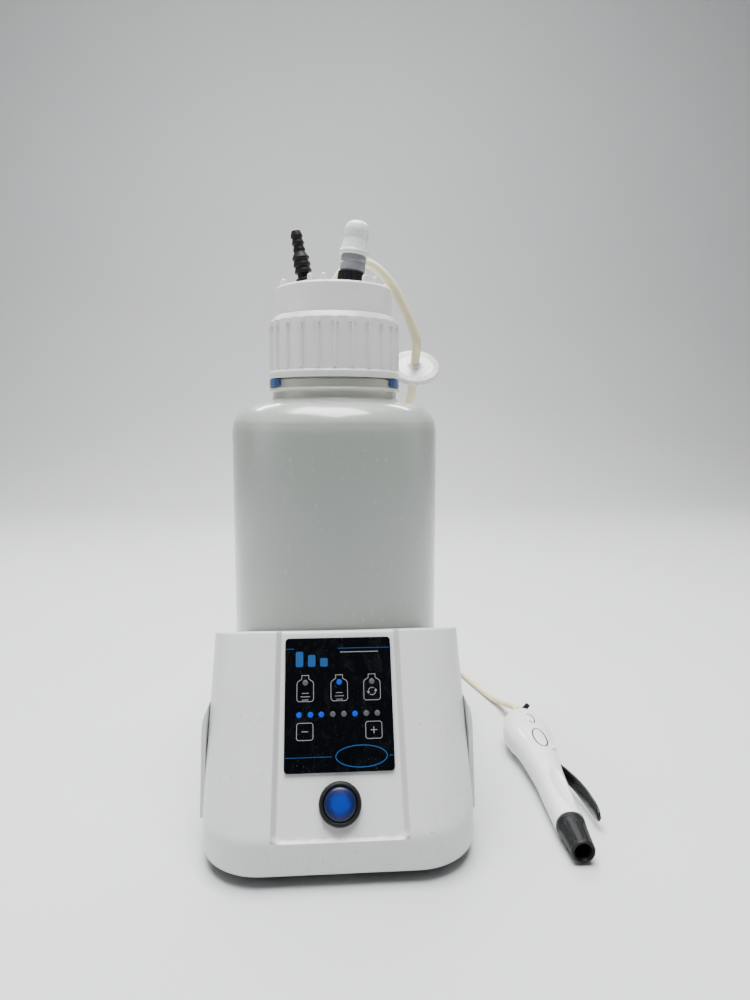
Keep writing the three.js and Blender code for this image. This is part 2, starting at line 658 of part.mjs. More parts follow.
const alongAxis = (frame, height) => new THREE.Vector3(0, 0, height).applyMatrix4(frame.matrix).toArray();
const hubEnd = (height) => alongAxis(filterFrame, height);
const SOCKET = FILTER.hub - 7; // where a hose end stops on the filter's hub
const upperHosePath = [
  alongAxis(vacuumFrame, 6.2),
  alongAxis(vacuumFrame, 10),
  alongAxis(vacuumFrame, 15.5),
  [11, 27.5, 424.5],
  [21, 27.5, 429.3],
  [32.5, 28, 426.6],
  [42.8, 29, 418.6],
  [52.4, 30.3, 406.3],
  [60.6, 31.8, 391.4],
  [67.2, 34, 377],
  [71, 36.8, 366.4],
  hubEnd(FILTER.hub + 4),
  hubEnd(SOCKET),
];
const lowerHosePath = [
  hubEnd(-SOCKET),
  hubEnd(-FILTER.hub - 4),
  hubEnd(-FILTER.hub - 14),
  [70.4, 96, 308],
  [67, 117, 286],
  [62.5, 135, 257],
  [59.4, 147, 229],
  [NOZZLE_AT[0], NOZZLE_AT[1] - 0.6, 206],
  [...NOZZLE_AT, 188],
  [...NOZZLE_AT, DECK_TOP + 2.9],
];
piece("filter_hose", hose(upperHosePath, 24), SILICONE);
piece("pump_hose", hose(lowerHosePath, 22), SILICONE);

// ---- Hand controller, lying on its side on the bench ----
// Its frame: x across towards the trigger, y from the nose to the tail, z up from the joint line.

const handFrame = frameAt(HANDSET.at, { x: rad(HANDSET.pitch), z: rad(HANDSET.yaw) });
const STATIONS = [
  // [along, middle across, half width, half thickness]
  [HANDSET.nose + GAP, -1, 10.8, 10.7],
  [58, -0.5, 11.2, 11],
  [87, 0.4, 12.1, 11.6],
  [111, 1, 14.3, 12.6],
  [133, 1.4, 17.1, 13.7],
  [146.5, 0.9, 20.4, 14.4],
  [159, 0.7, 22, 14.8],
  [173.5, 0.9, 20.9, 14.4],
  [187, 1.5, 17.2, 12.8],
  [196.5, 2.1, 12, 10],
  [HANDSET.end, 2.4, 6.4, 6.2],
];
function handRing([along, middle, wide, thick], inset) {
  const count = 16;
  return Array.from({ length: count }, (_, i) => {
    const angle = ((i + 0.5) / count) * FULL_TURN;
    const [c, s] = [Math.cos(angle), Math.sin(angle)];
    const squareness = (value) => Math.sign(value) * Math.abs(value) ** 0.88;
    const across = middle + (wide - inset) * squareness(c);
    return new THREE.Vector3(across, along, (thick - inset) * squareness(s));
  });
}
const handBody = solid(loft(STATIONS.map((station) => handRing(station, 0))));
const innerStations = STATIONS.map((station) => [...station]);
innerStations[0][0] -= 5;
innerStations[innerStations.length - 1][0] += 5;
const handHollow = solid(loft(innerStations.map((station) => handRing(station, 2))));
const triggerSlot = solid(block([6, 86, -6.8], [30, 128.5, 6.8]));
const pivotLug = (low, high) => {
  const lug = solid(placed(disc(4, low, high, 16), TRIGGER_PIVOT[0], TRIGGER_PIVOT[1], 0));
  return lug.intersect(handBody);
};
const pinBore = solid(placed(disc(1.6, -9.4, 9.4, 12), TRIGGER_PIVOT[0], TRIGGER_PIVOT[1], 0));
const handShell = handBody
  .subtract(handHollow)
  .subtract(triggerSlot)
  .add(pivotLug(6.9, 14))
  .add(pivotLug(-14, -6.9))
  .subtract(pinBore);
const [reach, far] = [40, 250];
const upperHalf = handShell.intersect(solid(block([-reach, 0, 0.1], [reach, far, reach])));
const lowerHalf = handShell.intersect(solid(block([-reach, 0, -reach], [reach, far, -0.1])));
piece("hand_shell_upper", upperHalf, WHITE, handFrame);
piece("hand_shell_lower", lowerHalf, WHITE, handFrame);

const noseProfile = [
  [5.4, 0],
  [7.7, 0],
  [8.3, 0.8],
  [9.2, 12],
  [10.2, 24],
  [10.5, HANDSET.nose],
  [5.4, HANDSET.nose],
];
const FLUTES = 10;
const alongY = (geometry) => geometry.rotateX(-Math.PI / 2);
const noseFlute = (i) => {
  const groove = block([9, -0.7, 3], [12, 0.7, 22]).rotateY(rad(5));
  return solid(groove.rotateZ((i / FLUTES) * FULL_TURN));
};
const noseTurned = solid(turned(noseProfile, 20));
const flutes = join(Array.from({ length: FLUTES }, (_, i) => noseFlute(i)));
const NOSE_ACROSS = -1; // the nose sits this far off the joint line's middle
const nose = alongY(geometryOf(noseTurned.subtract(flutes)));
piece("nose_nut", nose, BLACK, handFrame).position.x = NOSE_ACROSS;
const seat = alongY(turned([[1.6, 16], [4, 16], [5, 20], [5, 43], [1.6, 43]], 20));
piece("pipette_seat", seat, RUBBER, handFrame).position.x = NOSE_ACROSS;
const innerTubeRoute = [[-1, 43.3, 0], [-0.6, 77, 0], [0, 116, 0], [0.6, 154, 0], [2.4, 191.7, 0]];
piece("pinch_tube", bar(innerTubeRoute, 3, 16), SILICONE, handFrame);
const tailFitting = turned([
  [0, 192],
  [4, 192],
  [4, 202.4],
  [6.2, 202.4],
  [6.2, 206.6],
  [4.6, 207.4],
  [4.6, 210],
  [0, 210],
], 16);
const hanger = block([-1.2, 202.5, -2.5], [13.5, 205, 2.5]);
const tail = solid(alongY(tailFitting)).add(solid(hanger.rotateY(rad(-50))));
piece("tail_fitting", tail, BLACK, handFrame).position.x = 2.4;

// The trigger blade runs forward from its pivot and stands off the grip.
const [PIVOT_X, PIVOT_Y] = TRIGGER_PIVOT;
const BLADE = [
  // [along, middle across, half thickness, half height]
  [126.4, 9.6, 1.6, 4.6],
  [121.5, 9.6, 3, 5],
  [112, 10.8, 2.4, 5.2],
  [104, 12.6, 2.1, 5.5],
  [95, 15.6, 2, 5.9],
  [84, 18.7, 2, 6.2],
  [67.5, 21.4, 2, 7.6],
  [52, 22.8, 2, 7.8],
  [43, 23.3, 1.8, 6.8],
  [37.6, 23.2, 1.3, 4],
];
const bladeRing = ([along, middle, thick, high]) =>
  Array.from({ length: 12 }, (_, i) => {
    const angle = (i / 12) * FULL_TURN;
    return new THREE.Vector3(middle + thick * Math.cos(angle), along, high * Math.sin(angle));
  });
const pivotBore = solid(placed(disc(1.7, -12, 12, 14), PIVOT_X, PIVOT_Y, 0));
const pinchFinger = solid(block([4.4, 108, -2], [14.5, 112, 2]));
const trigger = solid(loft(BLADE.map(bladeRing))).add(pinchFinger).subtract(pivotBore);
piece("trigger", trigger, BLACK, handFrame);
piece("trigger_pin", disc(1.3, -9, 9, 12), STEEL, handFrame).position.set(PIVOT_X, PIVOT_Y, 0);
const spring = piece("trigger_spring", coilSpring(2, 0.35, 0, 5.4, 3), STEEL, handFrame);
spring.position.set(5.3, 101.7, 0);
spring.rotation.y = Math.PI / 2;

// ---- Free suction tube: along the bench, then coiled behind the housing ----

const onHand = (x, y, z) => new THREE.Vector3(x, y, z).applyMatrix4(handFrame.matrix).toArray();
const LYING = TUBE_RADIUS + 0.3; // height of the tube's middle on the bench
const tubeRoute = [
  onHand(2.4, 210.3, 0),
  onHand(2.4, 221, -0.6),
  [172.6, 93, 12.6],
  [170.6, 110, 8.4],
  [167.4, 126, 5],
  [163.2, 144, LYING],
  [158.8, 162, LYING],
  [154.2, 182, LYING],
  [150, 202, LYING],
  [145.8, 222, LYING],
  [140.6, 242, LYING],
  [133.4, 262, LYING],
  [123.4, 281, LYING],
  [110.8, 298.4, LYING],
  [97.2, 313.4, LYING],
  [84, 326.2, LYING],
  [70.8, 337, LYING],
];
piece("suction_tube", bar(tubeRoute, TUBE_RADIUS, 30, 8), SILICONE);
const coilEdges = [COIL.mean - COIL.width / 2, COIL.mean + COIL.width / 2];
piece("suction_tube_coil", placed(washer(...coilEdges, GAP, COIL.height, 28), COIL.x, COIL.y, 0), SILICONE);
const plug = turned([
  [0, 0],
  [3.5, 0],
  [3.5, 3],
  [5, 4],
  [5, 12],
  [3.6, 13],
  [3.6, 24],
  [4.4, 25],
  [3, 27],
  [0, 27],
], 12);
const plugFrame = frameAt([COIL.x - COIL.mean, COIL.y + 13, COIL.height + 5.3], { x: Math.PI / 2 });
piece("tube_connector", plug, BLACK, plugFrame);

export default outfit;
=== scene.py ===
import math

import bmesh
import bpy
import numpy as np
from mathutils import Matrix, Vector


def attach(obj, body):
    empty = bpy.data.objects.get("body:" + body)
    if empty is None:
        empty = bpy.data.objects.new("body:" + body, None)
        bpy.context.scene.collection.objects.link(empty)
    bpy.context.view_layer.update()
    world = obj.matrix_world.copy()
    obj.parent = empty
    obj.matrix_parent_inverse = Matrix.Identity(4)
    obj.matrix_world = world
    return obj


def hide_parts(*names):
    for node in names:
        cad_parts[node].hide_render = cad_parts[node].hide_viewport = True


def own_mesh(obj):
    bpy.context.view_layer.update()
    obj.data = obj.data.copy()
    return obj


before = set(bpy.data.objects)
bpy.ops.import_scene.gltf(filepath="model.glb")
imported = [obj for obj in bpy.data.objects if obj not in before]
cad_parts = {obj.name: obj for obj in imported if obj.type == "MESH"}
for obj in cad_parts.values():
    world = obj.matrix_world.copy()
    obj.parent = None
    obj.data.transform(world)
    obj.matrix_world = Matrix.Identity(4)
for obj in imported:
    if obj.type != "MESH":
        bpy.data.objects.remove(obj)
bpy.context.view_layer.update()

ORIGIN = np.array([47.75, 50.3, 0.0])
TAU = 2 * math.pi


def add(name, data):
    """A new object in the scene."""
    obj = bpy.data.objects.new(name, data)
    bpy.context.scene.collection.objects.link(obj)
    return obj


def row(points):
    return (np.asarray(points, float).reshape(-1, 3) - ORIGIN) / 1000


# ---- Frames ----


def turn(axis, degrees):
    return np.array(Matrix.Rotation(math.radians(degrees), 4, axis))


def frame_at(place, *turns):
    made = np.eye(4)
    made[:3, 3] = place
    for each in turns:
        made = made @ each
    return made


def placed(points, matrix):
    return np.asarray(points, float) @ matrix[:3, :3].T + matrix[:3, 3]


FRONT = -155
FACE_FOOT = 32.4  # where the front begins to lean back
BUTTON_UP = 21.2  # the button's middle, up the front from there
FACE_TILT = 28.5
FACE = frame_at((0, FRONT, FACE_FOOT), turn("X", 90 - FACE_TILT))
TRIGGER_PIVOT = (9.5, 121.5)  # in the handset's own frame
HAND = frame_at((164.47, -145.3, 9.75), turn("X", 1.94), turn("Z", -2.5))
HEAD_TOP = 401
BARB = frame_at((-21.8, -25, HEAD_TOP), turn("Y", -10.2))
COUPLING = frame_at((12.5, -16, HEAD_TOP), turn("Y", 7.3))
VACUUM = frame_at((-3, 27, HEAD_TOP), turn("Y", 24))
FILTER = frame_at((72, 57, 344.5), turn("X", 42.3))
NOZZLE = (58, 152)

# ---- Camera ----

camera = add("camera", bpy.data.cameras.new("camera"))
bpy.context.scene.camera = camera
camera.data.lens = 24.95
camera.data.clip_start = 0.01
camera.location = (-0.05475, -0.6193, 0.300)
camera.rotation_euler = (math.radians(83.25), 0, math.radians(-4.0))


# ---- Meshes ----


def eased(t):
    """0 to 1 with an easy start and end."""
    return t * t * (3 - 2 * t)


def spline(points, steps=8):
    """Points along a smooth curve through the points given."""
    p = np.asarray(points, float)
    p = np.vstack([2 * p[0] - p[1], p, 2 * p[-1] - p[-2]])
    t = np.linspace(0, 1, steps, endpoint=False)[:, None]
    made = []
    for a, b, c, d in zip(p, p[1:], p[2:], p[3:]):
        made.append(
            b
            + 0.5 * t * (c - a)
            + t**2 * (a - 2.5 * b + 2 * c - 0.5 * d)
            + t**3 * (1.5 * (b - c) + 0.5 * (d - a))
        )
    return np.vstack([*made, p[-2][None]])


class Solid:
    """Points in millimetres in the housing's frame, and faces."""

    def __init__(self, points, faces):
        self.points = np.asarray(points, float).reshape(-1, 3)
        self.faces = [tuple(f) for f in faces]

    def at(self, matrix):
        return Solid(placed(self.points, matrix), self.faces)

    def moved(self, x=0, y=0, z=0):
        return Solid(self.points + (x, y, z), self.faces)

    def __add__(self, other):
        start = len(self.points)
        more = [tuple(i + start for i in f) for f in other.faces]
        return Solid(np.vstack([self.points, other.points]), self.faces + more)


def skin(rings, closed=False):
    """A skin through rings of points. The first and last ring are capped, or joined to each other."""
    rings = np.asarray(rings, float)
    count, around = rings.shape[:2]
    i = np.arange(around)
    j = (i + 1) % around
    faces = []
    for r in range(count if closed else count - 1):
        a, b = r * around, (r + 1) % count * around
        faces += np.stack([a + i, a + j, b + j, b + i], 1).tolist()
    if not closed:
        faces += [range(around)[::-1], range((count - 1) * around, count * around)]
    return Solid(rings.reshape(-1, 3), faces)


def rounded(profile, radius=0.4, steps=4):
    """A closed outline with its corners rounded. A third number in a point is that corner's own radius."""
    made = []
    count = len(profile)
    for i, point in enumerate(profile):
        here = np.array(point[:2], float)
        size = point[2] if len(point) > 2 else radius
        back = np.array(profile[i - 1][:2], float) - here
        on = np.array(profile[(i + 1) % count][:2], float) - here
        reach = min(size, 0.45 * np.hypot(*back), 0.45 * np.hypot(*on))
        if reach < 1e-4 or here[0] < 1e-6:
            made.append(here)
            continue
        a = here + back / np.hypot(*back) * reach
        b = here + on / np.hypot(*on) * reach
        for t in np.linspace(0, 1, steps + 1):
            made.append((1 - t) ** 2 * a + 2 * t * (1 - t) * here + t**2 * b)
    return np.array(made)


def turned(profile, segments=96, radius=0.4, bump=None, steps=4):
    """A closed outline of (radius, height) points turned about z. bump(r, z, angle) gives a wavy radius."""
    outline = rounded(profile, radius, steps)
    angle = np.arange(segments) / segments * TAU
    r = np.repeat(outline[:, :1], segments, 1)
    z = np.repeat(outline[:, 1:], segments, 1)
    if bump:
        r = bump(r, z, angle[None])
    rings = np.stack([r * np.cos(angle), r * np.sin(angle), z], -1)
    return skin(rings, closed=True)


def prism(outline, low, high, soft=0.0, steps=3):
    """A flat outline given a thickness from low to high, with its upper edge softened."""
    flat = np.asarray(outline, float)
    if area(flat) < 0:
        flat = flat[::-1]
    rings = [np.c_[flat, np.full(len(flat), low)]]
    if soft:
        for t in np.linspace(0, math.pi / 2, steps + 1):
            inner = inset(flat, soft * (1 - math.cos(t)))
            rings.append(np.c_[inner, np.full(len(flat), high - soft * (1 - math.sin(t)))])
    else:
        rings.append(np.c_[flat, np.full(len(flat), high)])
    return skin(rings)


def area(flat):
    x, y = flat.T
    return 0.5 * float(np.sum(x * np.roll(y, -1) - np.roll(x, -1) * y))


def inset(flat, distance):
    """A counter-clockwise outline drawn in by a distance."""
    before = flat - np.roll(flat, 1, 0)
    after = np.roll(flat, -1, 0) - flat
    sides = []
    for edge in (before, after):
        edge = edge / np.maximum(np.hypot(*edge.T), 1e-9)[:, None]
        sides.append(np.c_[-edge[:, 1], edge[:, 0]])
    both = sides[0] + sides[1]
    size = np.maximum((both * sides[0]).sum(1), 0.3)
    return flat + both / size[:, None] * distance


def round_box(width, height, radius, steps=6, foot=0.0):
    """A rounded rectangle centred on x, from y = foot up."""
    half, top = width / 2, foot + height
    corners = [(-half, foot), (half, foot), (half, top), (-half, top)]
    made = []
    for i, corner in enumerate(corners):
        here = np.array(corner)
        a = np.array(corners[i - 1]) - here
        b = np.array(corners[(i + 1) % 4]) - here
        a, b = here + a / np.hypot(*a) * radius, here + b / np.hypot(*b) * radius
        middle = a + b - here
        for t in np.linspace(0, math.pi / 2, steps + 1):
            made.append(middle + (a - middle) * math.cos(t) + (b - middle) * math.sin(t))
    return np.array(made)


def oval(x, y, half_wide, half_long, count=64):
    a = np.arange(count) / count * TAU
    return np.c_[x + half_wide * np.cos(a), y + half_long * np.sin(a)]


def arc(cx, cy, radius, start, end, steps=12):
    angles = np.radians(np.linspace(start, end, steps + 1))
    return [(cx + radius * math.cos(a), cy + radius * math.sin(a), 0) for a in angles]


def stroke(points, width):
    """The outline of a pen line through points, as a list of four-sided pieces."""
    p = np.asarray(points, float)
    pieces = []
    for a, b in zip(p, p[1:]):
        d = (b - a) / max(np.hypot(*(b - a)), 1e-9)
        n = np.array([-d[1], d[0]]) * width / 2
        e = d * width * 0.18
        pieces.append(np.array([a - n - e, b - n + e, b + n + e, a + n - e]))
    return pieces


def ribbon(points, width, low, high):
    """A closed pen line as one ring-shaped solid."""
    p = np.asarray(points, float)
    if area(p) < 0:
        p = p[::-1]
    outside, inside = inset(p, -width / 2), inset(p, width / 2)
    level = np.ones(len(p))
    rings = [
        np.c_[outside, level * low],
        np.c_[outside, level * high],
        np.c_[inside, level * high],
        np.c_[inside, level * low],
    ]
    return skin(rings, closed=True)


def box(low, high):
    (a, b, c), (d, e, f) = low, high
    ring = [(a, b), (d, b), (d, e), (a, e)]
    return skin([[(x, y, z) for x, y in ring] for z in (c, f)])


def upright(flat, y):
    """A flat outline stood up at a place along y."""
    return np.c_[flat[:, 0], np.full(len(flat), y), flat[:, 1]]


def together(parts):
    return sum(parts[1:], parts[0])


def sweep(points, radius, sides=24, bore=0.0, steps=8):
    """A round bar along a smooth curve. radius may be one number for each point along.
    bore makes it a tube."""
    line = spline(points, steps) if steps else np.asarray(points, float)
    ahead = np.gradient(line, axis=0)
    ahead /= np.linalg.norm(ahead, axis=1)[:, None]
    side = np.cross(ahead[0], [0.3, 0.5, 0.81])
    sides_at = []
    for d in ahead:
        side = side - d * (side @ d)
        side /= np.linalg.norm(side)
        sides_at.append(side.copy())
    across = np.array(sides_at)
    up = np.cross(ahead, across)
    angle = np.arange(sides) / sides * TAU
    cos, sin = np.cos(angle)[None, :, None], np.sin(angle)[None, :, None]
    wave = across[:, None] * cos + up[:, None] * sin
    size = np.broadcast_to(np.asarray(radius, float), (len(line),))
    if len(np.atleast_1d(radius)) > 1 and steps:
        size = np.interp(np.linspace(0, 1, len(line)), np.linspace(0, 1, len(radius)), radius)
    outside = line[:, None] + wave * size[:, None, None]
    if not bore:
        return skin(outside)
    inside = line[:, None] + wave * bore
    return skin(np.concatenate([outside, inside[::-1]]), closed=True)


def make(name, solid):
    """A Blender object from a solid, closed and facing outwards."""
    mesh = bpy.data.meshes.new(name)
    mesh.from_pydata(row(solid.points).tolist(), [], solid.faces)
    made = bmesh.new()
    made.from_mesh(mesh)
    bmesh.ops.remove_doubles(made, verts=made.verts, dist=2e-7)
    bmesh.ops.dissolve_degenerate(made, edges=made.edges, dist=1e-8)
    bmesh.ops.recalc_face_normals(made, faces=made.faces)
    made.to_mesh(mesh)
    made.free()
    return add(name, mesh)


def settled(obj):
    """The object with its modifiers applied."""
    bpy.context.view_layer.update()
    shaped = obj.evaluated_get(bpy.context.evaluated_depsgraph_get())
    mesh = bpy.data.meshes.new_from_object(shaped)
    old = obj.data
    obj.modifiers.clear()
    obj.data = mesh
    bpy.data.meshes.remove(old)
    return obj


def combine(obj, tool, operation="DIFFERENCE"):
    """obj cut by, joined with or kept within a solid."""
    other = make("tool", tool)
    modifier = obj.modifiers.new("combine", "BOOLEAN")
    modifier.operation = operation
    modifier.solver = "MANIFOLD"
    modifier.object = other
    settled(obj)
    bpy.data.objects.remove(other)
    if not len(obj.data.polygons):
        raise RuntimeError(f"{obj.name} came out empty")
    return obj


def softened(obj, width, segments=3, angle=30):
    """obj with its sharp edges rounded."""
    modifier = obj.modifiers.new("soften", "BEVEL")
    modifier.width = width / 1000
    modifier.segments = segments
    modifier.limit_method = "ANGLE"
    modifier.angle_limit = math.radians(angle)
    return settled(obj)


def piece(obj, finish, body, nodes=(), smooth=32):
    """The last step for each piece: its material, shading, body and the CAD nodes it stands for."""
    obj.data.materials.clear()
    obj.data.materials.append(finish)
    if obj.type == "MESH":
        obj.data.shade_smooth()
        obj.data.set_sharp_from_angle(angle=math.radians(smooth))
    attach(obj, body)
    if nodes:
        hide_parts(*nodes)
    return obj


# ---- Materials ----


def socket_name(key):
    return key.replace("_", " ").title().replace("Ior", "IOR")


def rgba(color):
    return color if isinstance(color, bpy.types.NodeSocket) else (*color, 1)


class Finish:
    """A short way to write a material's nodes. Lengths are metres in the piece's own frame."""

    def __init__(self, name, color, roughness, **sockets):
        self.material = bpy.data.materials.new(name)
        self.material.use_nodes = True
        self.tree = self.material.node_tree
        self.shader = self.tree.nodes["Principled BSDF"]
        self.place = self.tree.nodes.new("ShaderNodeTexCoord").outputs["Object"]
        self.color, self.roughness, self.height = color, roughness, None
        for key, value in sockets.items():
            self.shader.inputs[socket_name(key)].default_value = value

    def put(self, socket, value):
        """Links a socket to another, or sets its value."""
        if isinstance(value, bpy.types.NodeSocket):
            self.tree.links.new(value, socket)
        else:
            socket.default_value = value

    def node(self, kind, inputs=(), **settings):
        made = self.tree.nodes.new("ShaderNode" + kind)
        for key, value in settings.items():
            setattr(made, key, value)
        for key, value in dict(inputs).items():
            self.put(made.inputs[key], value)
        return made

    def stretched(self, x, y, z):
        return self.node("Mapping", {"Vector": self.place, "Scale": (x, y, z)}).outputs["Vector"]

    def noise(self, size, detail=3.0, roughness=0.5, place=None, low=0.0, high=1.0, warp=0.0):
        """Cloudy noise with features of about size metres, spread from low to high to fill 0 to 1."""
        inputs = {
            "Vector": place or self.place,
            "Scale": 1 / size,
            "Detail": detail,
            "Roughness": roughness,
            "Distortion": warp,
        }
        made = self.node("TexNoise", inputs).outputs["Fac"]
        return self.band(made, low, high) if (low, high) != (0.0, 1.0) else made

    def cells(self, size):
        inputs = {"Vector": self.place, "Scale": 1 / size}
        return self.node("TexVoronoi", inputs).outputs["Distance"]

    def band(self, value, low, high, start=0.0, end=1.0):
        inputs = {"Value": value, "From Min": low, "From Max": high, "To Min": start, "To Max": end}
        return self.node("MapRange", inputs).outputs["Result"]

    def math(self, operation, a, b=0.0):
        made = self.node("Math", {0: a, 1: b}, operation=operation)
        return made.outputs["Value"]

    def times(self, first, *others):
        for each in others:
            first = self.math("MULTIPLY", first, each)
        return first

    def off(self, value, middle):
        """How far a value is from a middle one."""
        return self.math("ABSOLUTE", self.math("SUBTRACT", value, middle))

    def axis(self, name):
        return self.node("SeparateXYZ", {"Vector": self.place}).outputs[name]

    def tint(self, share, color):
        """Lays a colour over the one so far, where share is 1."""
        inputs = {0: share, 6: rgba(self.color), 7: rgba(color)}
        self.color = self.node("Mix", inputs, data_type="RGBA").outputs[2]
        return self

    def rough(self, share, roughness):
        """Moves the roughness towards another where share is 1."""
        inputs = {0: share, 2: self.roughness, 3: roughness}
        self.roughness = self.node("Mix", inputs, data_type="FLOAT").outputs[0]
        return self

    def bump(self, value, depth):
        """Raises the surface by depth metres where value is 1."""
        inputs = {"Height": value, "Distance": depth, "Strength": 1.0}
        if self.height is not None:
            inputs["Normal"] = self.height
        self.height = self.node("Bump", inputs).outputs["Normal"]
        return self

    def done(self, **links):
        links.update(base_color=rgba(self.color), roughness=self.roughness)
        if self.height is not None:
            links["normal"] = self.height
        for key, value in links.items():
            self.put(self.shader.inputs[socket_name(key)], value)
        return self.material


def moulded(name, color, roughness, grain=0.0006, depth=6e-6, dirt=0.0, **sockets):
    """Injection-moulded plastic: a fine grain, cloudy gloss, faint marks and scuffs."""
    made = Finish(name, color, roughness, **sockets)
    cloud = made.noise(0.035, 4, 0.55, low=0.35, high=0.7)
    darker = tuple(c * 0.93 for c in color)
    made.tint(made.band(cloud, 0, 1, 0, 0.6), darker)
    scuff = made.noise(0.012, 6, 0.7, place=made.stretched(1, 1, 5), low=0.58, high=0.7)
    made.rough(made.band(cloud, 0, 1, 0, 0.5), roughness * 0.72).rough(scuff, min(1, roughness * 1.35))
    if dirt:
        specks = made.noise(0.0016, 2, 0.5, low=0.68, high=0.74)
        patches = made.noise(0.03, 3, 0.6, low=0.48, high=0.62)
        made.tint(made.times(specks, patches, dirt), (0.30, 0.26, 0.2))
    made.bump(made.noise(grain, 2, 0.5), depth).bump(scuff, depth * 0.7)
    return made.done()


def housing_finish():
    """Painted-smooth white moulding, with dried splashes near the bench and on the lower front, and painted
    shade on the recess's side walls.
    """
    made = Finish("satin white housing", (0.69, 0.70, 0.70), 0.38, coat_weight=0.12, coat_roughness=0.3)
    cloud = made.noise(0.05, 4, 0.55, low=0.35, high=0.7)
    made.tint(made.band(cloud, 0, 1, 0, 0.5), (0.665, 0.675, 0.675))
    low = made.band(made.axis("Z"), 0.075, 0.012)
    front = made.band(made.axis("Y"), -0.135, -0.2)
    near = made.times(low, made.band(front, 0, 1, 0.35, 1))
    specks = made.noise(0.0022, 2, 0.6, low=0.665, high=0.72)
    patches = made.noise(0.022, 4, 0.7, low=0.46, high=0.6)
    share = made.times(specks, patches, near)
    made.tint(share, (0.33, 0.28, 0.2))
    rare = made.noise(0.0028, 1, 0.5, low=0.735, high=0.77)
    made.tint(made.times(rare, 0.5), (0.4, 0.37, 0.31))
    # Dirt lies on the narrow ledge where the front begins to lean back.
    ledge = made.off(made.axis("Z"), 0.0322)
    ledge = made.times(made.band(ledge, 0.0013, 0.0003), made.band(made.axis("Y"), -0.2, -0.203))
    wide = made.off(made.axis("X"), -ORIGIN[0] / 1000)
    ledge = made.times(ledge, made.band(wide, 0.0455, 0.0445))
    # The recess's side walls are tinted darker: painted shade, standing in for the shade that falls on them.
    # They lean in by 0.0142 for each unit of height, and the front leans back by 0.543.
    painted_wall_shade = made.math("ADD", wide, made.times(made.axis("Z"), 0.0142))
    painted_wall_shade = made.band(made.off(painted_wall_shade, 0.0436), 0.0024, 0.0012)
    behind = made.math("SUBTRACT", made.axis("Y"), made.times(made.axis("Z"), 0.543))
    painted_wall_shade = made.times(painted_wall_shade, made.band(behind, -0.2165, -0.2175))
    painted_wall_shade = made.times(painted_wall_shade, made.band(made.axis("Z"), 0.031, 0.036))
    made.tint(made.times(painted_wall_shade, 0.7), (0.42, 0.42, 0.41))
    caked = made.noise(0.005, 5, 0.75, place=made.stretched(1, 1, 0.3), low=0.42, high=0.6)
    made.tint(made.times(ledge, made.band(caked, 0, 1, 0.1, 0.6)), (0.26, 0.21, 0.14))
    # Dried splashes, some fainter in the middle, and streaks low down.
    splash = made.node("TexVoronoi", {"Vector": made.stretched(1, 1, 0.8), "Scale": 75.0})
    pick = made.node("SeparateColor", {"Color": splash.outputs["Color"]}).outputs["Red"]
    drops = made.times(made.band(pick, 0.8, 0.82), made.band(splash.outputs["Distance"], 0.19, 0.13))
    hollow = made.band(splash.outputs["Distance"], 0.04, 0.15, 0.25, 1)
    made.tint(made.times(drops, hollow, 0.3), (0.55, 0.54, 0.5))
    streaks = made.noise(0.006, 4, 0.7, place=made.stretched(1, 1, 0.12), low=0.55, high=0.75)
    made.tint(made.times(streaks, low, 0.22), (0.52, 0.49, 0.42))
    scuff = made.noise(0.01, 6, 0.75, place=made.stretched(1, 1, 4), low=0.58, high=0.7)
    made.rough(cloud, 0.3).rough(scuff, 0.5).rough(share, 0.8)
    made.bump(made.noise(0.0011, 2, 0.5), 9e-6).bump(share, 3e-5).bump(drops, 4e-5)
    return made.done()


def bottle_finish():
    """Milky blow-moulded polyethylene: light goes some way in, and the wall is a little uneven."""
    made = Finish(
        "milky bottle",
        (0.47, 0.53, 0.47),
        0.22,
        subsurface_weight=0.5,
        subsurface_radius=(0.028, 0.03, 0.026),
        subsurface_scale=1.0,
        transmission_weight=0.12,
        ior=1.5,
        coat_weight=0.6,
        coat_roughness=0.07,
    )
    made.tint(made.band(made.axis("Z"), 0.2, 0.06), (0.51, 0.53, 0.44))
    made.tint(made.band(made.axis("Z"), 0.311, 0.316), (0.70, 0.69, 0.6))
    uneven = made.noise(0.09, 3, 0.5, place=made.stretched(1, 1, 0.5), low=0.35, high=0.65)
    made.tint(made.band(uneven, 0, 1, 0, 0.5), (0.44, 0.5, 0.44))
    scuff = made.noise(0.007, 7, 0.75, place=made.stretched(2.6, 2.6, 1), low=0.6, high=0.7)
    made.tint(made.times(scuff, 0.2), (0.66, 0.69, 0.66))
    made.rough(scuff, 0.42).rough(uneven, 0.26)
    made.bump(made.noise(0.03, 2, 0.4, place=made.stretched(1, 1, 0.6)), 2.6e-4)
    made.bump(made.noise(0.0016, 3, 0.5), 8e-6).bump(scuff, 8e-6)
    return made.done()


def silicone_finish(name, color):
    made = Finish(
        name,
        color,
        0.42,
        subsurface_weight=0.5,
        subsurface_radius=(0.004, 0.0035, 0.002),
        subsurface_scale=1.0,
    )
    cloud = made.noise(0.02, 3, 0.6, low=0.35, high=0.7)
    made.tint(made.band(cloud, 0, 1, 0, 0.6), tuple(c * k for c, k in zip(color, (0.93, 0.9, 0.8))))
    lint = made.noise(0.0011, 3, 0.6, low=0.7, high=0.76)
    made.tint(made.times(lint, 0.35), (0.45, 0.42, 0.36))
    made.rough(cloud, 0.55).bump(made.noise(0.0008, 2), 8e-6).bump(cloud, 3e-5)
    return made.done()


def metal_finish(name, color, roughness, stretch):
    """Metal with fine lines along one direction."""
    made = Finish(name, color, roughness, metallic=1.0)
    lines = made.noise(0.0012, 4, 0.6, place=made.stretched(*stretch))
    cloud = made.noise(0.02, 3, 0.6, low=0.35, high=0.7)
    made.tint(made.band(cloud, 0, 1, 0, 0.5), tuple(c * 0.85 for c in color))
    made.rough(lines, roughness * 1.5).bump(lines, 1.5e-5)
    return made.done()


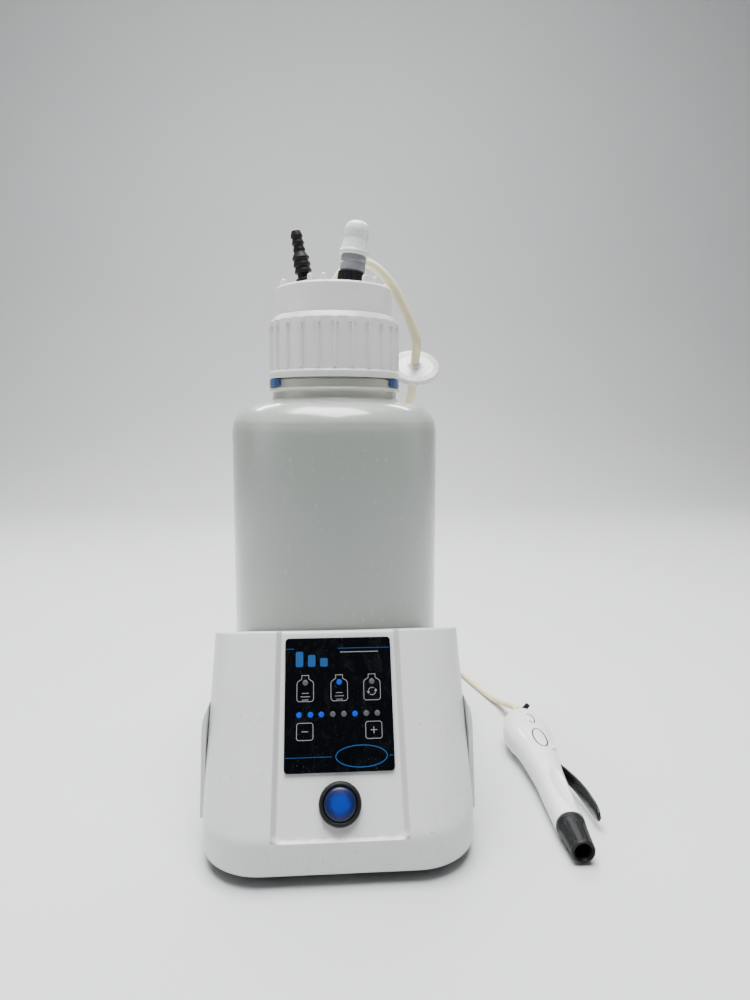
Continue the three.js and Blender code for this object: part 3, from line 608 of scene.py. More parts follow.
def panel_finish():
    """A gloss black touch panel with dust and finger marks."""
    made = Finish("gloss black panel", (0.0015, 0.002, 0.003), 0.07, specular_ior_level=0.12)
    dust = made.noise(0.0007, 2, 0.6, low=0.7, high=0.74)
    area_mask = made.noise(0.018, 3, 0.6, low=0.4, high=0.62)
    share = made.times(dust, area_mask, 0.55)
    smear = made.noise(0.014, 5, 0.65, place=made.stretched(1.6, 1, 0.8), low=0.5, high=0.72, warp=1.2)
    made.tint(made.times(smear, 0.02), (0.2, 0.21, 0.24)).tint(share, (0.3, 0.32, 0.35))
    made.rough(smear, 0.24).rough(share, 0.7)
    made.bump(made.noise(0.004, 2), 4e-6)
    return made.done()


def board_finish():
    made = Finish("green circuit board", (0.012, 0.11, 0.035), 0.35, coat_weight=0.4, coat_roughness=0.2)
    tracks = made.node(
        "TexBrick",
        {"Vector": made.place, "Scale": 180.0, "Mortar Size": 0.06, "Mortar Smooth": 0.2},
    ).outputs["Fac"]
    made.tint(made.times(tracks, 0.7), (0.03, 0.22, 0.07))
    pads = made.band(made.cells(0.0035), 0.16, 0.12)
    made.tint(pads, (0.62, 0.6, 0.5)).rough(pads, 0.25)
    made.bump(tracks, 3e-5).bump(pads, 4e-5)
    return made.done()


def glow_finish(name, color, strength, rim):
    """A lit lens or lamp."""
    made = Finish(
        name, rim, 0.2, emission_color=(*color, 1), emission_strength=strength, specular_ior_level=0.08
    )
    made.tint(made.band(made.noise(0.002, 2, 0.5, low=0.3, high=0.7), 0, 1, 0, 0.1), color)
    made.rough(made.noise(0.001, 2), 0.3)
    return made.done()


def button_finish():
    """A dark convex lens whose middle is lit."""
    made = Finish("blue push-button lens", (0.006, 0.009, 0.035), 0.32, specular_ior_level=0.3)
    centre = row(placed([(0, BUTTON_UP, 3)], FACE))[0]
    away = made.node(
        "VectorMath", {0: made.place, 1: tuple(centre)}, operation="DISTANCE"
    ).outputs["Value"]
    ripple = made.noise(0.0028, 3, 0.6, low=0.3, high=0.7)
    edge = made.math("ADD", away, made.band(ripple, 0, 1, -0.0008, 0.0008))
    core = made.band(edge, 0.0076, 0.0046)
    halo = made.band(edge, 0.0102, 0.005)
    made.tint(made.times(halo, 0.7), (0.006, 0.02, 0.16))
    speck = made.noise(0.0007, 2, 0.5, low=0.62, high=0.72)
    lit = made.math("ADD", made.times(core, 0.24), made.times(halo, 0.02))
    lit = made.times(lit, made.band(speck, 0, 1, 1.0, 1.5))
    made.shader.inputs["Emission Color"].default_value = (0.005, 0.1, 1.0, 1)
    made.rough(speck, 0.35).bump(ripple, 1e-5)
    return made.done(emission_strength=lit)


def webbing_finish():
    made = Finish("black woven tie", (0.015, 0.015, 0.017), 0.85, sheen_weight=0.3)
    weave = made.node(
        "TexWave", {"Vector": made.stretched(1, 1.4, 1), "Scale": 420.0, "Distortion": 2.0}
    ).outputs["Fac"]
    made.tint(made.times(weave, 0.5), (0.05, 0.05, 0.055)).bump(weave, 1.2e-4)
    return made.done()


WHITE = housing_finish()
HAND_WHITE = moulded(
    "gloss white hand shell", (0.78, 0.785, 0.785), 0.24, 0.002, 3e-6, dirt=0.25, coat_weight=0.25,
    coat_roughness=0.12
)
CAP_WHITE = moulded("white cap plastic", (0.755, 0.76, 0.75), 0.34, 0.0009, 8e-6, dirt=0.35)
BOTTLE = bottle_finish()
PANEL = panel_finish()
BLACK = moulded(
    "matt black plastic", (0.008, 0.008, 0.009), 0.5, 0.0007, 1.2e-5, dirt=0.2, specular_ior_level=0.22
)
GLOSS_BLACK = moulded(
    "gloss black plastic", (0.006, 0.006, 0.007), 0.22, 0.0015, 3e-6, dirt=0.2, specular_ior_level=0.35
)
RUBBER = moulded("black rubber", (0.02, 0.02, 0.021), 0.78, 0.0005, 2e-5, dirt=0.5)
CLIP = moulded("blue clip plastic", (0.012, 0.06, 0.20), 0.36, 0.0009, 8e-6)
SILICONE = silicone_finish("cream silicone", (0.74, 0.67, 0.46))
SMOKE = moulded(
    "grey translucent socket", (0.35, 0.36, 0.39), 0.22, 0.001, 4e-6, transmission_weight=0.35, ior=1.48,
    subsurface_weight=0.2, subsurface_radius=(0.004, 0.004, 0.005)
)
CLEAR = moulded(
    "natural translucent plastic", (0.83, 0.85, 0.84), 0.28, 0.001, 4e-6, transmission_weight=0.15,
    subsurface_weight=0.5, subsurface_radius=(0.008, 0.008, 0.008)
)
STEEL = metal_finish("turned steel", (0.56, 0.56, 0.57), 0.28, (0.2, 3, 3))
ALUMINIUM = metal_finish("cast aluminium", (0.7, 0.71, 0.72), 0.42, (1, 1, 1))
BOARD = board_finish()
BUTTON_LENS = button_finish()
LIT = glow_finish("lit blue lamp", (0.0, 0.1, 0.95), 0.74, (0.0, 0.01, 0.05))
UNLIT = moulded("unlit grey lamp", (0.075, 0.08, 0.09), 0.3, 0.001, 4e-6)
INK_WHITE = moulded("white panel print", (0.24, 0.25, 0.27), 0.45, 0.001, 3e-6)
INK_BLUE = moulded("blue panel print", (0.003, 0.065, 0.22), 0.4, 0.001, 3e-6)
TIE = webbing_finish()

# ---- The free tube, with its fittings ----

TUBE_RADIUS = 3.5
LYING = 3.8  # height of the tube's middle on the bench
COIL = np.array([20.0, 316.0])
COIL_TURN = {"outer": 47.0, "inner": 33.0, "upper": 10.9, "join": 53.1}


def on_hand(x, y, z):
    return placed([(x, y, z)], HAND)[0]


def coil_line():
    """The windings: inwards on the bench, outwards on top of that, then up into the connector."""
    legs = [
        # (degrees turned, radius at the end, height at the end)
        (100, COIL_TURN["outer"], LYING),
        (680, COIL_TURN["inner"], LYING),
        (170, COIL_TURN["inner"], COIL_TURN["upper"]),
        (690, COIL_TURN["outer"], COIL_TURN["upper"]),
        (226.9, COIL_TURN["outer"], COIL_TURN["upper"]),
        (220, 40.0, 19.7),
    ]
    angle, radius, height = COIL_TURN["join"], COIL_TURN["outer"], LYING
    points = []
    for turned_by, end_radius, end_height in legs:
        for t in np.linspace(0, 1, int(turned_by / 6))[1:]:
            ease = eased(t)
            a = math.radians(angle + turned_by * t)
            r = radius + (end_radius - radius) * (ease if turned_by < 300 else t)
            points.append(
                (
                    COIL[0] + r * math.cos(a), COIL[1] + r * math.sin(a),
                    height + (end_height - height) * ease
                )
            )
        angle, radius, height = angle + turned_by, end_radius, end_height
    return np.array(points)


TUBE_ROUTE = [
    on_hand(2.4, 210.3, 0),
    on_hand(2.4, 221, -0.6),
    (172.6, 93, 12.6),
    (170.6, 110, 8.4),
    (167.4, 126, 5),
    (163.2, 144, LYING),
    (158.8, 162, LYING),
    (154.2, 182, LYING),
    (150, 202, LYING),
    (145.8, 222, LYING),
    (140.6, 242, LYING),
    (133.4, 262, LYING),
    (123.4, 281, LYING),
    (110.8, 298.4, LYING),
    (97.2, 313.4, LYING),
    (84, 326.2, LYING),
    (70.8, 337, LYING),
    (58.5, 346.2, LYING),
]
tube_line = np.vstack([spline(TUBE_ROUTE, 8), coil_line()])

curve = bpy.data.curves.new("suction_tube_line", "CURVE")
curve.dimensions = "3D"
curve.bevel_depth = TUBE_RADIUS / 1000
curve.bevel_resolution = 5
curve.use_fill_caps = True
run = curve.splines.new("POLY")
run.points.add(len(tube_line) - 1)
for point, place in zip(run.points, row(tube_line)):
    point.co = (*place, 1)
suction_line = add("suction_line", curve)
suction_line.data.materials.append(SILICONE)
for each in curve.splines:
    each.use_smooth = True
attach(suction_line, "base")
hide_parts("suction_tube", "suction_tube_coil")

# The sleeve on the hand controller's tail, with its hook.
sleeve = turned(
    [
        (1.2, 192.1, 0), (3.6, 192.1), (3.6, 202.2), (6.2, 202.4, 0.8), (6.2, 205.4, 1.2), (4.8, 206.6),
        (4.3, 210, 0.8), (1.2, 210, 0.4)
    ],
    64,
)
tail = make("tail_sleeve", sleeve.at(turn("X", -90)).moved(2.4).at(HAND))
hook = [
    (3.6, 202.7), (8, 202.5), (12, 202.9), (13.4, 203.8), (13, 204.9), (10, 204.7), (7, 205.2),
    (3.6, 206.4)
]
combine(
    tail, prism(spline(hook + hook[:1], 5)[:-1], -2.2, 2.2, 0.6).at(turn("Y", -50)).moved(2.4).at(HAND),
    "UNION"
)
piece(tail, BLACK, "base", ["tail_fitting"])

plug_end = turned(
    [
        (0, 0),
        (3.9, 0, 0.8),
        (3.9, 3, 0.6),
        (5, 4, 0.7),
        (5, 12, 0.7),
        (3.9, 13, 0.4),
        (3.5, 16, 0.2),
        (4.1, 16.8, 0.3),
        (3.5, 19.4, 0.2),
        (4.1, 20.2, 0.3),
        (3.5, 22.8, 0.2),
        (4.4, 24.6, 0.5),
        (2.9, 27, 0.4),
        (1.7, 27, 0.2),
        (1.7, 14, 0),
        (0, 14),
    ],
    72,
    bump=lambda r, z, a: r + np.where(
        (z > 4.6) & (z < 11.4) & (r > 4.6), 0.16 * np.cos(18 * a) - 0.16, 0
    ),
)
connector_place = frame_at((COIL[0] - 40, COIL[1] + 13, 19.7), turn("X", 90))
connector = piece(
    make("tube_coupler", plug_end.at(connector_place)), BLACK, "base", ["tube_connector"]
)

# A woven tie round the coil's windings.
tie_angle = math.radians(-62)
tie_out = np.array([math.cos(tie_angle), math.sin(tie_angle), 0])
tie_along = np.array([-tie_out[1], tie_out[0], 0])
section = round_box(22.6, 14.9, 4.5, 8, foot=0.25)
tie_rings = []
for thick in (0.0, 0.9):
    loop = inset(section, -thick)
    loop[:, 1] = np.maximum(loop[:, 1], 0.06 if thick else 0.28)
    for side in (-1, 1) if thick else (1, -1):
        spots = np.array([*COIL, 0.0]) + tie_out * (40.0 + loop[:, :1]) + tie_along * side * 5.0
        spots[:, 2] = loop[:, 1]
        tie_rings.append(spots)
tie = piece(
    make("coil_tie", skin([tie_rings[1], tie_rings[2], tie_rings[3], tie_rings[0]], closed=True)), TIE,
    "base"
)

# ---- Housing ----

BACK = 253
TOP_LINE = [
    (-91, 150.4),
    (-57, 140.4),
    (-25, 127),
    (12, 114),
    (50, 112),
    (80, 127),
    (100, 150),
    (118, 163),
    (140, 166),
    (182, 166),
    (222, 166),
    (236, 164.6),
    (247, 160.2),
    (258, 151),
]
TOP = spline(TOP_LINE, 24)
LEAN_BACK = math.tan(math.radians(FACE_TILT))
KNEE = 3.5  # the front bends back over this height either side of its foot
BOTTOM = 8.0
EASED = 12.5  # the lower edge is eased up to here
WELL_RADIUS = 84.5
SEAT = 58.0
RECESS = {
    "foot": -2.3, "bottom": 45.0, "top": 43.3, "length": 133.3, "depth": 2.7, "wall": 3.8, "corner": 6.5
}


def top_height(y):
    ahead = TOP_LINE[0][1] + (TOP_LINE[0][0] - y) * 0.2
    return np.where(y < TOP_LINE[0][0], ahead, np.interp(y, TOP[:, 0], TOP[:, 1]))


def front_y(z):
    over = z - FACE_FOOT
    bend = np.clip(over + KNEE, 0, 2 * KNEE) ** 2 / (4 * KNEE)
    return FRONT + LEAN_BACK * np.where(over > KNEE, over, bend)


def corner_radius(z):
    """The rounding of the housing's upright corners."""
    return 44 - 0.06 * z


def rear_y(z):
    """The rear wall, which leans in a little above its foot."""
    return BACK - np.maximum(0, z - 20) * 0.03


def half_width(z):
    """Half the housing's width, which narrows a little towards the top."""
    return 94.5 - 0.03 * z


def recess_half(up):
    """Half the recess's width at a distance up the slope."""
    share = np.clip((up - RECESS["foot"]) / RECESS["length"], 0, 1)
    return RECESS["bottom"] - (RECESS["bottom"] - RECESS["top"]) * share


class Plan:
    """The housing's outline seen from above. Each column has a kind, a side and a place along its stretch."""

    def __init__(self):
        columns = []
        front = np.concatenate(
            [np.linspace(0, 1, 30), np.linspace(1, 2, 10)[1:], np.linspace(2, 3, 8)[1:-1]]
        )
        corner = np.linspace(0, 90, 19)
        side = np.linspace(0, 1, 84)[1:-1]
        back = np.linspace(0, 1, 40)[1:-1]
        columns += [("front", 1, t) for t in front]
        columns += [("near", 1, a) for a in corner]
        columns += [("side", 1, t) for t in side]
        columns += [("far", 1, a) for a in corner]
        columns += [("back", 1, t) for t in back]
        columns += [("far", -1, a) for a in corner[::-1]]
        columns += [("side", -1, t) for t in side[::-1]]
        columns += [("near", -1, a) for a in corner[::-1]]
        columns += [("front", -1, t) for t in front[:0:-1]]
        self.kind = np.array([c[0] for c in columns])
        self.sign = np.array([c[1] for c in columns], float)
        self.along = np.array([c[2] for c in columns], float)
        self.count = len(columns)

    def __call__(self, z, shrink=0.0):
        """Where each column stands at its own height z."""
        z = np.broadcast_to(np.asarray(z, float), (self.count,))
        corner = corner_radius(z) - shrink
        wide = half_width(z) - shrink
        near = front_y(z) + shrink
        far = rear_y(z) - shrink
        half = recess_half((z - FACE_FOOT) / math.cos(math.radians(FACE_TILT)))
        knots = np.stack([0 * z, half - RECESS["wall"], half, wide - corner])
        lower = np.clip(self.along.astype(int), 0, 2)
        share = self.along - lower
        pick = np.arange(self.count)
        front_x = knots[lower, pick] * (1 - share) + knots[lower + 1, pick] * share
        a = np.radians(self.along)
        x = np.select(
            [self.kind == "front", self.kind == "near", self.kind == "side", self.kind == "far"],
            [front_x, wide - corner + corner * np.sin(a), wide, wide - corner + corner * np.cos(a)],
            (wide - corner) * (1 - 2 * self.along),
        )
        x = np.where(self.kind == "back", x, x * self.sign)
        y = np.select(
            [self.kind == "front", self.kind == "near", self.kind == "side", self.kind == "far"],
            [
                near, near + corner - corner * np.cos(a),
                near + corner + (far - near - 2 * corner) * self.along, far - corner + corner * np.sin(a)
            ],
            far,
        )
        return np.stack([x, y, z], -1)


def recess_depth(u, v):
    """How deep the front is pressed in at a place across and up the slope."""
    sides = recess_half(v) - np.abs(u)
    ends = v - RECESS["foot"]
    size = RECESS["corner"]
    inside = size - np.hypot(np.maximum(size - sides, 0), np.maximum(size - ends, 0))
    near = np.where((sides < size) & (ends < size), inside, np.minimum(sides, ends))
    share = np.clip(near / RECESS["wall"], 0, 1)
    return RECESS["depth"] * (0.7 * share + 0.3 * eased(share))


def unit(v):
    return v / np.maximum(np.linalg.norm(v, axis=-1, keepdims=True), 1e-9)


def bezier(a, middle, b, steps):
    return [(1 - t) ** 2 * a + 2 * t * (1 - t) * middle + t * t * b for t in np.linspace(0, 1, steps + 1)]


def housing_solid():
    plan = Plan()
    top = np.full(plan.count, 150.0)
    for _ in range(30):
        top = top_height(plan(top)[:, 1])
    edge = plan(top)
    down = unit(plan(top - 0.5) - edge)
    angle = np.arctan2(edge[:, 1], edge[:, 0])
    rim_xy = WELL_RADIUS * np.stack([np.cos(angle), np.sin(angle)], -1)
    rim = np.c_[rim_xy, top_height(rim_xy[:, 1])]

    def on_deck(flat):
        return np.c_[flat, top_height(flat[:, 1])]

    def deck(share):
        return on_deck(edge[:, :2] + (rim_xy - edge[:, :2]) * share[:, None])

    span = np.hypot(*(rim_xy - edge[:, :2]).T)
    fillet = np.interp(edge[:, 1], [-60, 60, 120], [1.3, 1.5, 2.6])
    inner = np.full(plan.count, 1.3)
    deck_start, deck_end = deck(fillet / span), deck(1 - inner / span)
    last = top - fillet * np.abs(down[:, 2])

    cos_tilt = math.cos(math.radians(FACE_TILT))
    recess_foot = FACE_FOOT + RECESS["foot"] * cos_tilt
    front_last = last[0]
    heights = np.concatenate([
        np.linspace(EASED, 27, 9),
        np.linspace(27, recess_foot, 8)[1:],
        np.linspace(recess_foot, recess_foot + 3 * cos_tilt, 14)[1:],
        np.linspace(recess_foot + 3 * cos_tilt, FACE_FOOT + 10, 8)[1:],
        np.linspace(FACE_FOOT + 10, front_last, 74)[1:],
    ])
    rings = bezier(plan(BOTTOM, 3.2), plan(BOTTOM), plan(EASED), 6)[:-1]
    outwards = FACE[:3, 2]
    for z in heights:
        at = EASED + (z - EASED) * (last - EASED) / (front_last - EASED)
        ring = plan(at)
        local = (ring - FACE[:3, 3]) @ FACE[:3, :3]
        wanted = recess_depth(local[:, 0], local[:, 1])
        pressed = np.where(plan.kind == "front", np.maximum(0, wanted + np.minimum(0, local[:, 2])), 0)
        pressed = np.where(local[:, 1] > RECESS["foot"], pressed, 0)
        rings.append(ring - outwards * pressed[:, None])
    cut_back = np.c_[np.zeros(plan.count), pressed / cos_tilt]  # the recess runs out through the top edge
    deck_start = on_deck(deck_start[:, :2] + cut_back)
    rings += bezier(rings[-1], on_deck(edge[:, :2] + cut_back), deck_start, 5)[1:]
    for t in np.linspace(0, 1, 56)[1:-1]:
        rings.append(on_deck(deck_start[:, :2] * (1 - t) + deck_end[:, :2] * t))
    below = rim - np.c_[0 * rim_xy, inner]
    rings += bezier(deck_end, rim, below, 5)
    for t in np.linspace(0, 1, 16)[1:]:
        ring = below.copy()
        ring[:, 2] = below[:, 2] * (1 - t) + (SEAT + 2) * t
        rings.append(ring)
    for t in np.linspace(0, math.pi / 2, 5)[1:]:
        ring = np.c_[
            rim_xy * (1 - 2 * (1 - math.cos(t)) / WELL_RADIUS),
            np.full(plan.count, SEAT + 2 - 2 * math.sin(t))
        ]
        rings.append(ring)
    for share in (0.7, 0.35, 0.05):
        rings.append(np.c_[rim_xy * share, np.full(plan.count, SEAT)])
    return skin(rings)


def coarse_plan(z, inset_side, inset_front):
    """A plain outline of the hollow inside the housing."""
    wide = half_width(z) - inset_side
    corner = 44 - z * 0.06 - inset_side
    near = FRONT + max(0, z - FACE_FOOT) * LEAN_BACK + inset_front
    far = BACK - max(0, z - 20) * 0.03 - inset_side
    made = []
    for x, y, start in ((wide, near, 270), (wide, far, 0), (-wide, far, 90), (-wide, near, 180)):
        cx = x - math.copysign(corner, x)
        cy = y + corner if y == near else y - corner
        for a in np.radians(np.linspace(start, start + 90, 9)):
            made.append((cx + corner * math.cos(a), cy + corner * math.sin(a), z))
    return made


housing = make("pump_housing", housing_solid())
hollow = make("hollow", skin([coarse_plan(z, 3, 6) for z in (0, 20, FACE_FOOT, 168)]))
above = [(-300, 260)] + [(y, z - 3.2) for y, z in [(-300, 192.2), *TOP[::4]]] + [(300, 147.8), (300, 260)]
combine(hollow, skin([[(x, y, z) for y, z in above] for x in (-120, 120)]))
combine(hollow, turned([(0, 55), (86.8, 55), (86.8, 300), (0, 300)], 96, 0))
hollow_points = np.array([v.co for v in hollow.data.vertices]) * 1000 + ORIGIN
combine(housing, Solid(hollow_points, [tuple(p.vertices) for p in hollow.data.polygons]))
bpy.data.objects.remove(hollow)


def slot_cutter(x0, x1, z0, z1, deep, face, flare=0.5):
    """A rounded slot through the rear wall with its mouth eased."""
    wide, tall = x1 - x0, z1 - z0
    flat = round_box(wide, tall, min(wide, tall) * 0.42, 5, foot=-tall / 2)
    rings = []
    for y, grow in ((face - deep, 0), (face - flare, 0), (face, flare), (face + 3, flare + 3)):
        ring = inset(flat, -grow)
        rings.append(upright(ring + ((x0 + x1) / 2, (z0 + z1) / 2), y))
    return skin(rings)


combine(
    housing,
    turned(
        [(0, -30), (13.15, -30), (13.15, -1.9, 0), (13.6, -1.4, 0), (13.6, 10), (0, 10)], 72, 0
    ).moved(0, BUTTON_UP).at(FACE)
)
for i in range(6):
    z = 92 + 8 * i
    combine(housing, slot_cutter(-48, 48, z, z + 3.4, 9, rear_y(z + 1.7)))
combine(housing, slot_cutter(-62, -31.4, 22, 46.8, 9, BACK - 0.5, 0.3))
combine(
    housing,
    turned(
        [(0, 150), (4.6, 150), (4.6, 165.6, 0), (5.2, 166.2, 0), (5.2, 180), (0, 180)], 48, 0
    ).moved(*NOZZLE)
)
piece(housing, WHITE, "base", ["housing_shell"], 24)

# Side grips: plates that stand proud of the walls.
for side, name in ((-1, "left"), (1, "right")):
    outline = [(half_width(20.6) + 0.2, 20.6), (98, 20.6), (95.6, 74)]
    outline += [tuple(p) for p in spline([(95.6, 74), (95.3, 82), (94.4, 90), (92.4, 97.4)], 6)[1:]]
    outline += [(half_width(97.8) + 0.2, 97.8)]
    ring = np.array(outline)
    grip = make("grip_plate_" + name, skin([upright(ring * (side, 1), y) for y in (-104, 28)]))
    softened(grip, 0.7, 3, 40)
    piece(grip, WHITE, "base", ["side_grip_" + name], 40)

# ---- Control panel ----

PANEL_FOOT, PANEL_LENGTH, PANEL_WIDTH = 40.4, 89.0, 73.8
PANEL_TOP = -0.9
plate = make(
    "panel_glass",
    prism(round_box(PANEL_WIDTH, PANEL_LENGTH, 2.6, 8, foot=PANEL_FOOT), -1.98, PANEL_TOP, 0.35).at(FACE)
)
piece(plate, PANEL, "base", ["control_panel"])


def on_panel(u, v):
    """A place on the panel from its share across and down."""
    return np.array([(u - 0.5) * PANEL_WIDTH, PANEL_FOOT + (1 - v) * PANEL_LENGTH])


def print_line(points, width, closed=False):
    low, high = PANEL_TOP - 0.03, PANEL_TOP + 0.06
    if closed:
        return ribbon(points, width, low, high)
    return together([prism(p, low, high) for p in stroke(points, width)])


def bottle_mark(u, v):
    """The outline of a bottle, 11.6 mm wide and 17.4 mm high."""
    middle = on_panel(u, v)
    w, h = 5.7, 8.7
    side = [(w, -h + 1.2), (w, 3.2), (w - 0.6, 4.6), (2.6, 6.1), (2.4, 6.6), (2.4, h)]
    half = [(w - 1.2, -h), *side]
    whole = half + [(-x, y) for x, y in half[::-1]]
    return np.array(whole) + middle


white, blue = [], []
for i, tall in enumerate((10.5, 8.2, 5.9)):
    foot = on_panel(0.135 + 0.115 * i, 0.225)
    blue.append(prism(round_box(5.2, tall, 1.0, 4) + foot, PANEL_TOP - 0.03, PANEL_TOP + 0.06))
white.append(print_line([on_panel(0.52, 0.115), on_panel(0.88, 0.115)], 0.5))
angle = np.arange(64) / 64 * TAU
blue.append(print_line(on_panel(0.7, 0.89) + np.c_[17.2 * np.cos(angle), 6.9 * np.sin(angle)], 0.6, True))
for u in (0.19, 0.506, 0.812):
    white.append(print_line(bottle_mark(u, 0.388), 0.4, True))
for u in (0.19, 0.506):
    for level, width in ((0.425, 0.06), (0.45, 0.085), (0.474, 0.06)):
        a, b = on_panel(u - width / 2, level), on_panel(u + width / 2, level)
        white.append(print_line([a, b], 0.38))
for start in (0.15, 0.65):
    spots = []
    for t in np.linspace(start, start + 0.36, 9):
        spots.append(on_panel(0.812, 0.42) + 2.5 * np.array([math.cos(t * TAU), math.sin(t * TAU)]))
    white.append(print_line(spots, 0.38))
    tip, back = spots[-1], spots[-2]
    d = (tip - back) / np.hypot(*(tip - back))
    n = np.array([-d[1], d[0]])
    white.append(
        prism(np.array([tip - n * 1.1, tip + d * 1.6, tip + n * 1.1]), PANEL_TOP - 0.03, PANEL_TOP + 0.06)
    )
for u in (0.187, 0.818):
    centre = on_panel(u, 0.706)
    white.append(print_line(round_box(11, 11, 1.6, 6, foot=-5.5) + centre, 0.42, True))
    white.append(print_line([centre - (2.1, 0), centre + (2.1, 0)], 0.5))
    if u > 0.5:
        white.append(print_line([centre - (0, 2.1), centre - (0, 0.3)], 0.5))
        white.append(print_line([centre + (0, 0.3), centre + (0, 2.1)], 0.5))
for a, b, v in ((0.012, 0.43, 0.89), (0.955, 0.988, 0.89), (0.012, 0.08, 0.085), (0.5, 0.988, 0.085)):
    blue.append(print_line([on_panel(a, v), on_panel(b, v)], 0.35))
piece(make("panel_marks_white", together(white).at(FACE)), INK_WHITE, "base")
piece(make("panel_marks_blue", together(blue).at(FACE)), INK_BLUE, "base")

lamp = turned(
    [
        (0, PANEL_TOP - 0.1), (1.9, PANEL_TOP - 0.1), (1.9, PANEL_TOP + 0.12, 0.2),
        (1.1, PANEL_TOP + 0.3, 0.3), (0, PANEL_TOP + 0.34)
    ],
    32
)
lit, unlit = [], []
for i, u in enumerate((0.133, 0.238, 0.338, 0.443, 0.546, 0.648, 0.752, 0.855)):
    at = on_panel(u, 0.584)
    (lit if i in (0, 1, 2, 5) else unlit).append(lamp.moved(*at))
for i, u in enumerate((0.19, 0.506, 0.812)):
    at = on_panel(u, 0.345)
    (lit if i == 1 else unlit).append(lamp.moved(*at))
piece(make("panel_lamps_lit", together(lit).at(FACE)), LIT, "base")
piece(make("panel_lamps_unlit", together(unlit).at(FACE)), UNLIT, "base")

# ---- Power button ----

BUTTON = FACE @ frame_at((0, BUTTON_UP, 0))
bezel = turned(
    [
        (11.05, -18, 0.2), (12.6, -18, 0.2), (12.6, -2.0, 0), (14.05, -1.85, 0.3), (14.05, 0.4, 1.5),
        (13.3, 2.1, 1.0), (11.9, 2.6, 0.5), (11.05, 2.0, 0.4)
    ],
    128,
    steps=6,
)
piece(make("button_ring", bezel.at(BUTTON)), BLACK, "base", ["button_bezel"])
lens = turned(
    [(0, -11), (10.7, -11, 0.3), (10.7, 2.2, 0.8), (9.5, 3.4, 0.9), (6, 4.4, 1.5), (0, 4.8)],
    128,
    steps=6,
)
piece(make("button_lens", lens.at(BUTTON)), BUTTON_LENS, "button", ["power_button"])

# ---- Feet, mains inlet and deck nozzle ----

for corner, side, rear in (
    ("front_left", -1, 0), ("front_right", 1, 0), ("rear_left", -1, 1), ("rear_right", 1, 1)
):
    pad = turned(
        [(0, 0), (7.6, 0, 0.4), (8.8, 1, 0.8), (9, 5.3, 0.2), (0, 5.3)], 64, bump=lambda r, z,
        a: r + np.where((z > 0.8) & (r > 5), 0.05 * np.cos(40 * a) - 0.05, 0)
    )
    place = (side * 72, 200 if rear else -112, 0)
    piece(make("pad_" + corner, pad.moved(*place)), RUBBER, "base", ["foot_" + corner])

inlet = make("mains_inlet", box((-61.7, 232, 22.3), (-31.7, 254, 46.5)))
flange = round_box(38.4, 30.6, 3.2, 6, foot=19.1)
rim = ((flange, 253.3), (flange, 255.1), (inset(flange, 0.45), 255.6))
combine(inlet, skin([upright(p - (46.7, 0), y) for p, y in rim]), "UNION")
mouth = np.array(
    [(-58.9, 26.1), (-34.5, 26.1), (-34.5, 38.2), (-38.9, 42.7), (-54.5, 42.7), (-58.9, 38.2)]
)
well = ((mouth, 236), (mouth, 255.0), (inset(mouth, -0.6), 255.61), (inset(mouth, -4), 262))
combine(inlet, skin([upright(p, y) for p, y in well]))
piece(inlet, BLACK, "base", ["power_inlet"])
pins = [
    box((x - 1, 235.5, z - 2), (x + 1, 246, z + 2)) for x, z in ((-52.7, 31), (-46.7, 38), (-40.7, 31))
]
blades = make("mains_blades", together(pins))
softened(blades, 0.35, 2)
piece(blades, STEEL, "base")

barbed = [
    (1.5, -11, 0.2), (4.2, -11, 0.2), (4.2, 0.3, 0), (7, 0.3, 0.3), (7, 2.6, 0.6), (2.3, 2.6, 0.5),
    (2.3, 6, 0.2), (2.5, 6.4, 0.1), (2.2, 9, 0.2), (2.5, 9.4, 0.1), (2.2, 12, 0.2), (2.5, 12.4, 0.1),
    (2.0, 16, 0.2), (1.5, 16, 0.1)
]
piece(
    make("deck_nozzle", turned(barbed, 64).moved(*NOZZLE, 166)), BLACK, "base",
    ["pump_inlet_nozzle"]
)

# ---- Bottle and neck clip ----

WALL = 2.6
SHOULDER = 312.0
BODY = 82.5
outside = [(0, SEAT + 1.6), (60, SEAT + 1.6, 2), (66, SEAT + 0.05, 2), (74, SEAT + 0.05, 0)]
outside += arc(BODY - 8, SEAT + 8, 8, -90, 0)
outside += arc(BODY - 24, SHOULDER - 24, 24, 0, 84, 20)
outside += [
    (53, SHOULDER + 0.5, 2), (49.8, SHOULDER + 2.6, 2.2), (49.8, 320.4, 0.6), (51.9, 320.7, 0.6),
    (52.3, 321.8, 0.8), (51.9, 322.9, 0.5), (49.8, 323, 0.4)
]
outside += [
    (49.8, 329, 0.5), (47.8, 330, 0.3), (47.8, 368, 0.8), (44.6, 368, 0.8), (44.6, SHOULDER, 2),
    (50, SHOULDER - 2.4, 2)
]
outside += arc(BODY - 24, SHOULDER - 24, 24 - WALL, 84, 0, 20)
outside += arc(BODY - 8, SEAT + 8, 8 - WALL, 0, -90)
outside += [(60, SEAT + 3.2, 1), (0, SEAT + 4.6, 0)]


def bottle_ripple(r, z, a):
    """Two faint mould seams and a slightly uneven wall on the outside."""
    seam = 0.12 * (np.exp(-((a - math.pi * 0.06) * 45) ** 2) + np.exp(-((a - math.pi * 1.06) * 45) ** 2))
    wave = 0.22 * np.sin(2 * a + z / 90) * np.clip((z - 80) / 40, 0, 1) * np.clip((300 - z) / 40, 0, 1)
    return r + np.where((r > 81) & (z < 305), seam + wave - 0.34, 0)


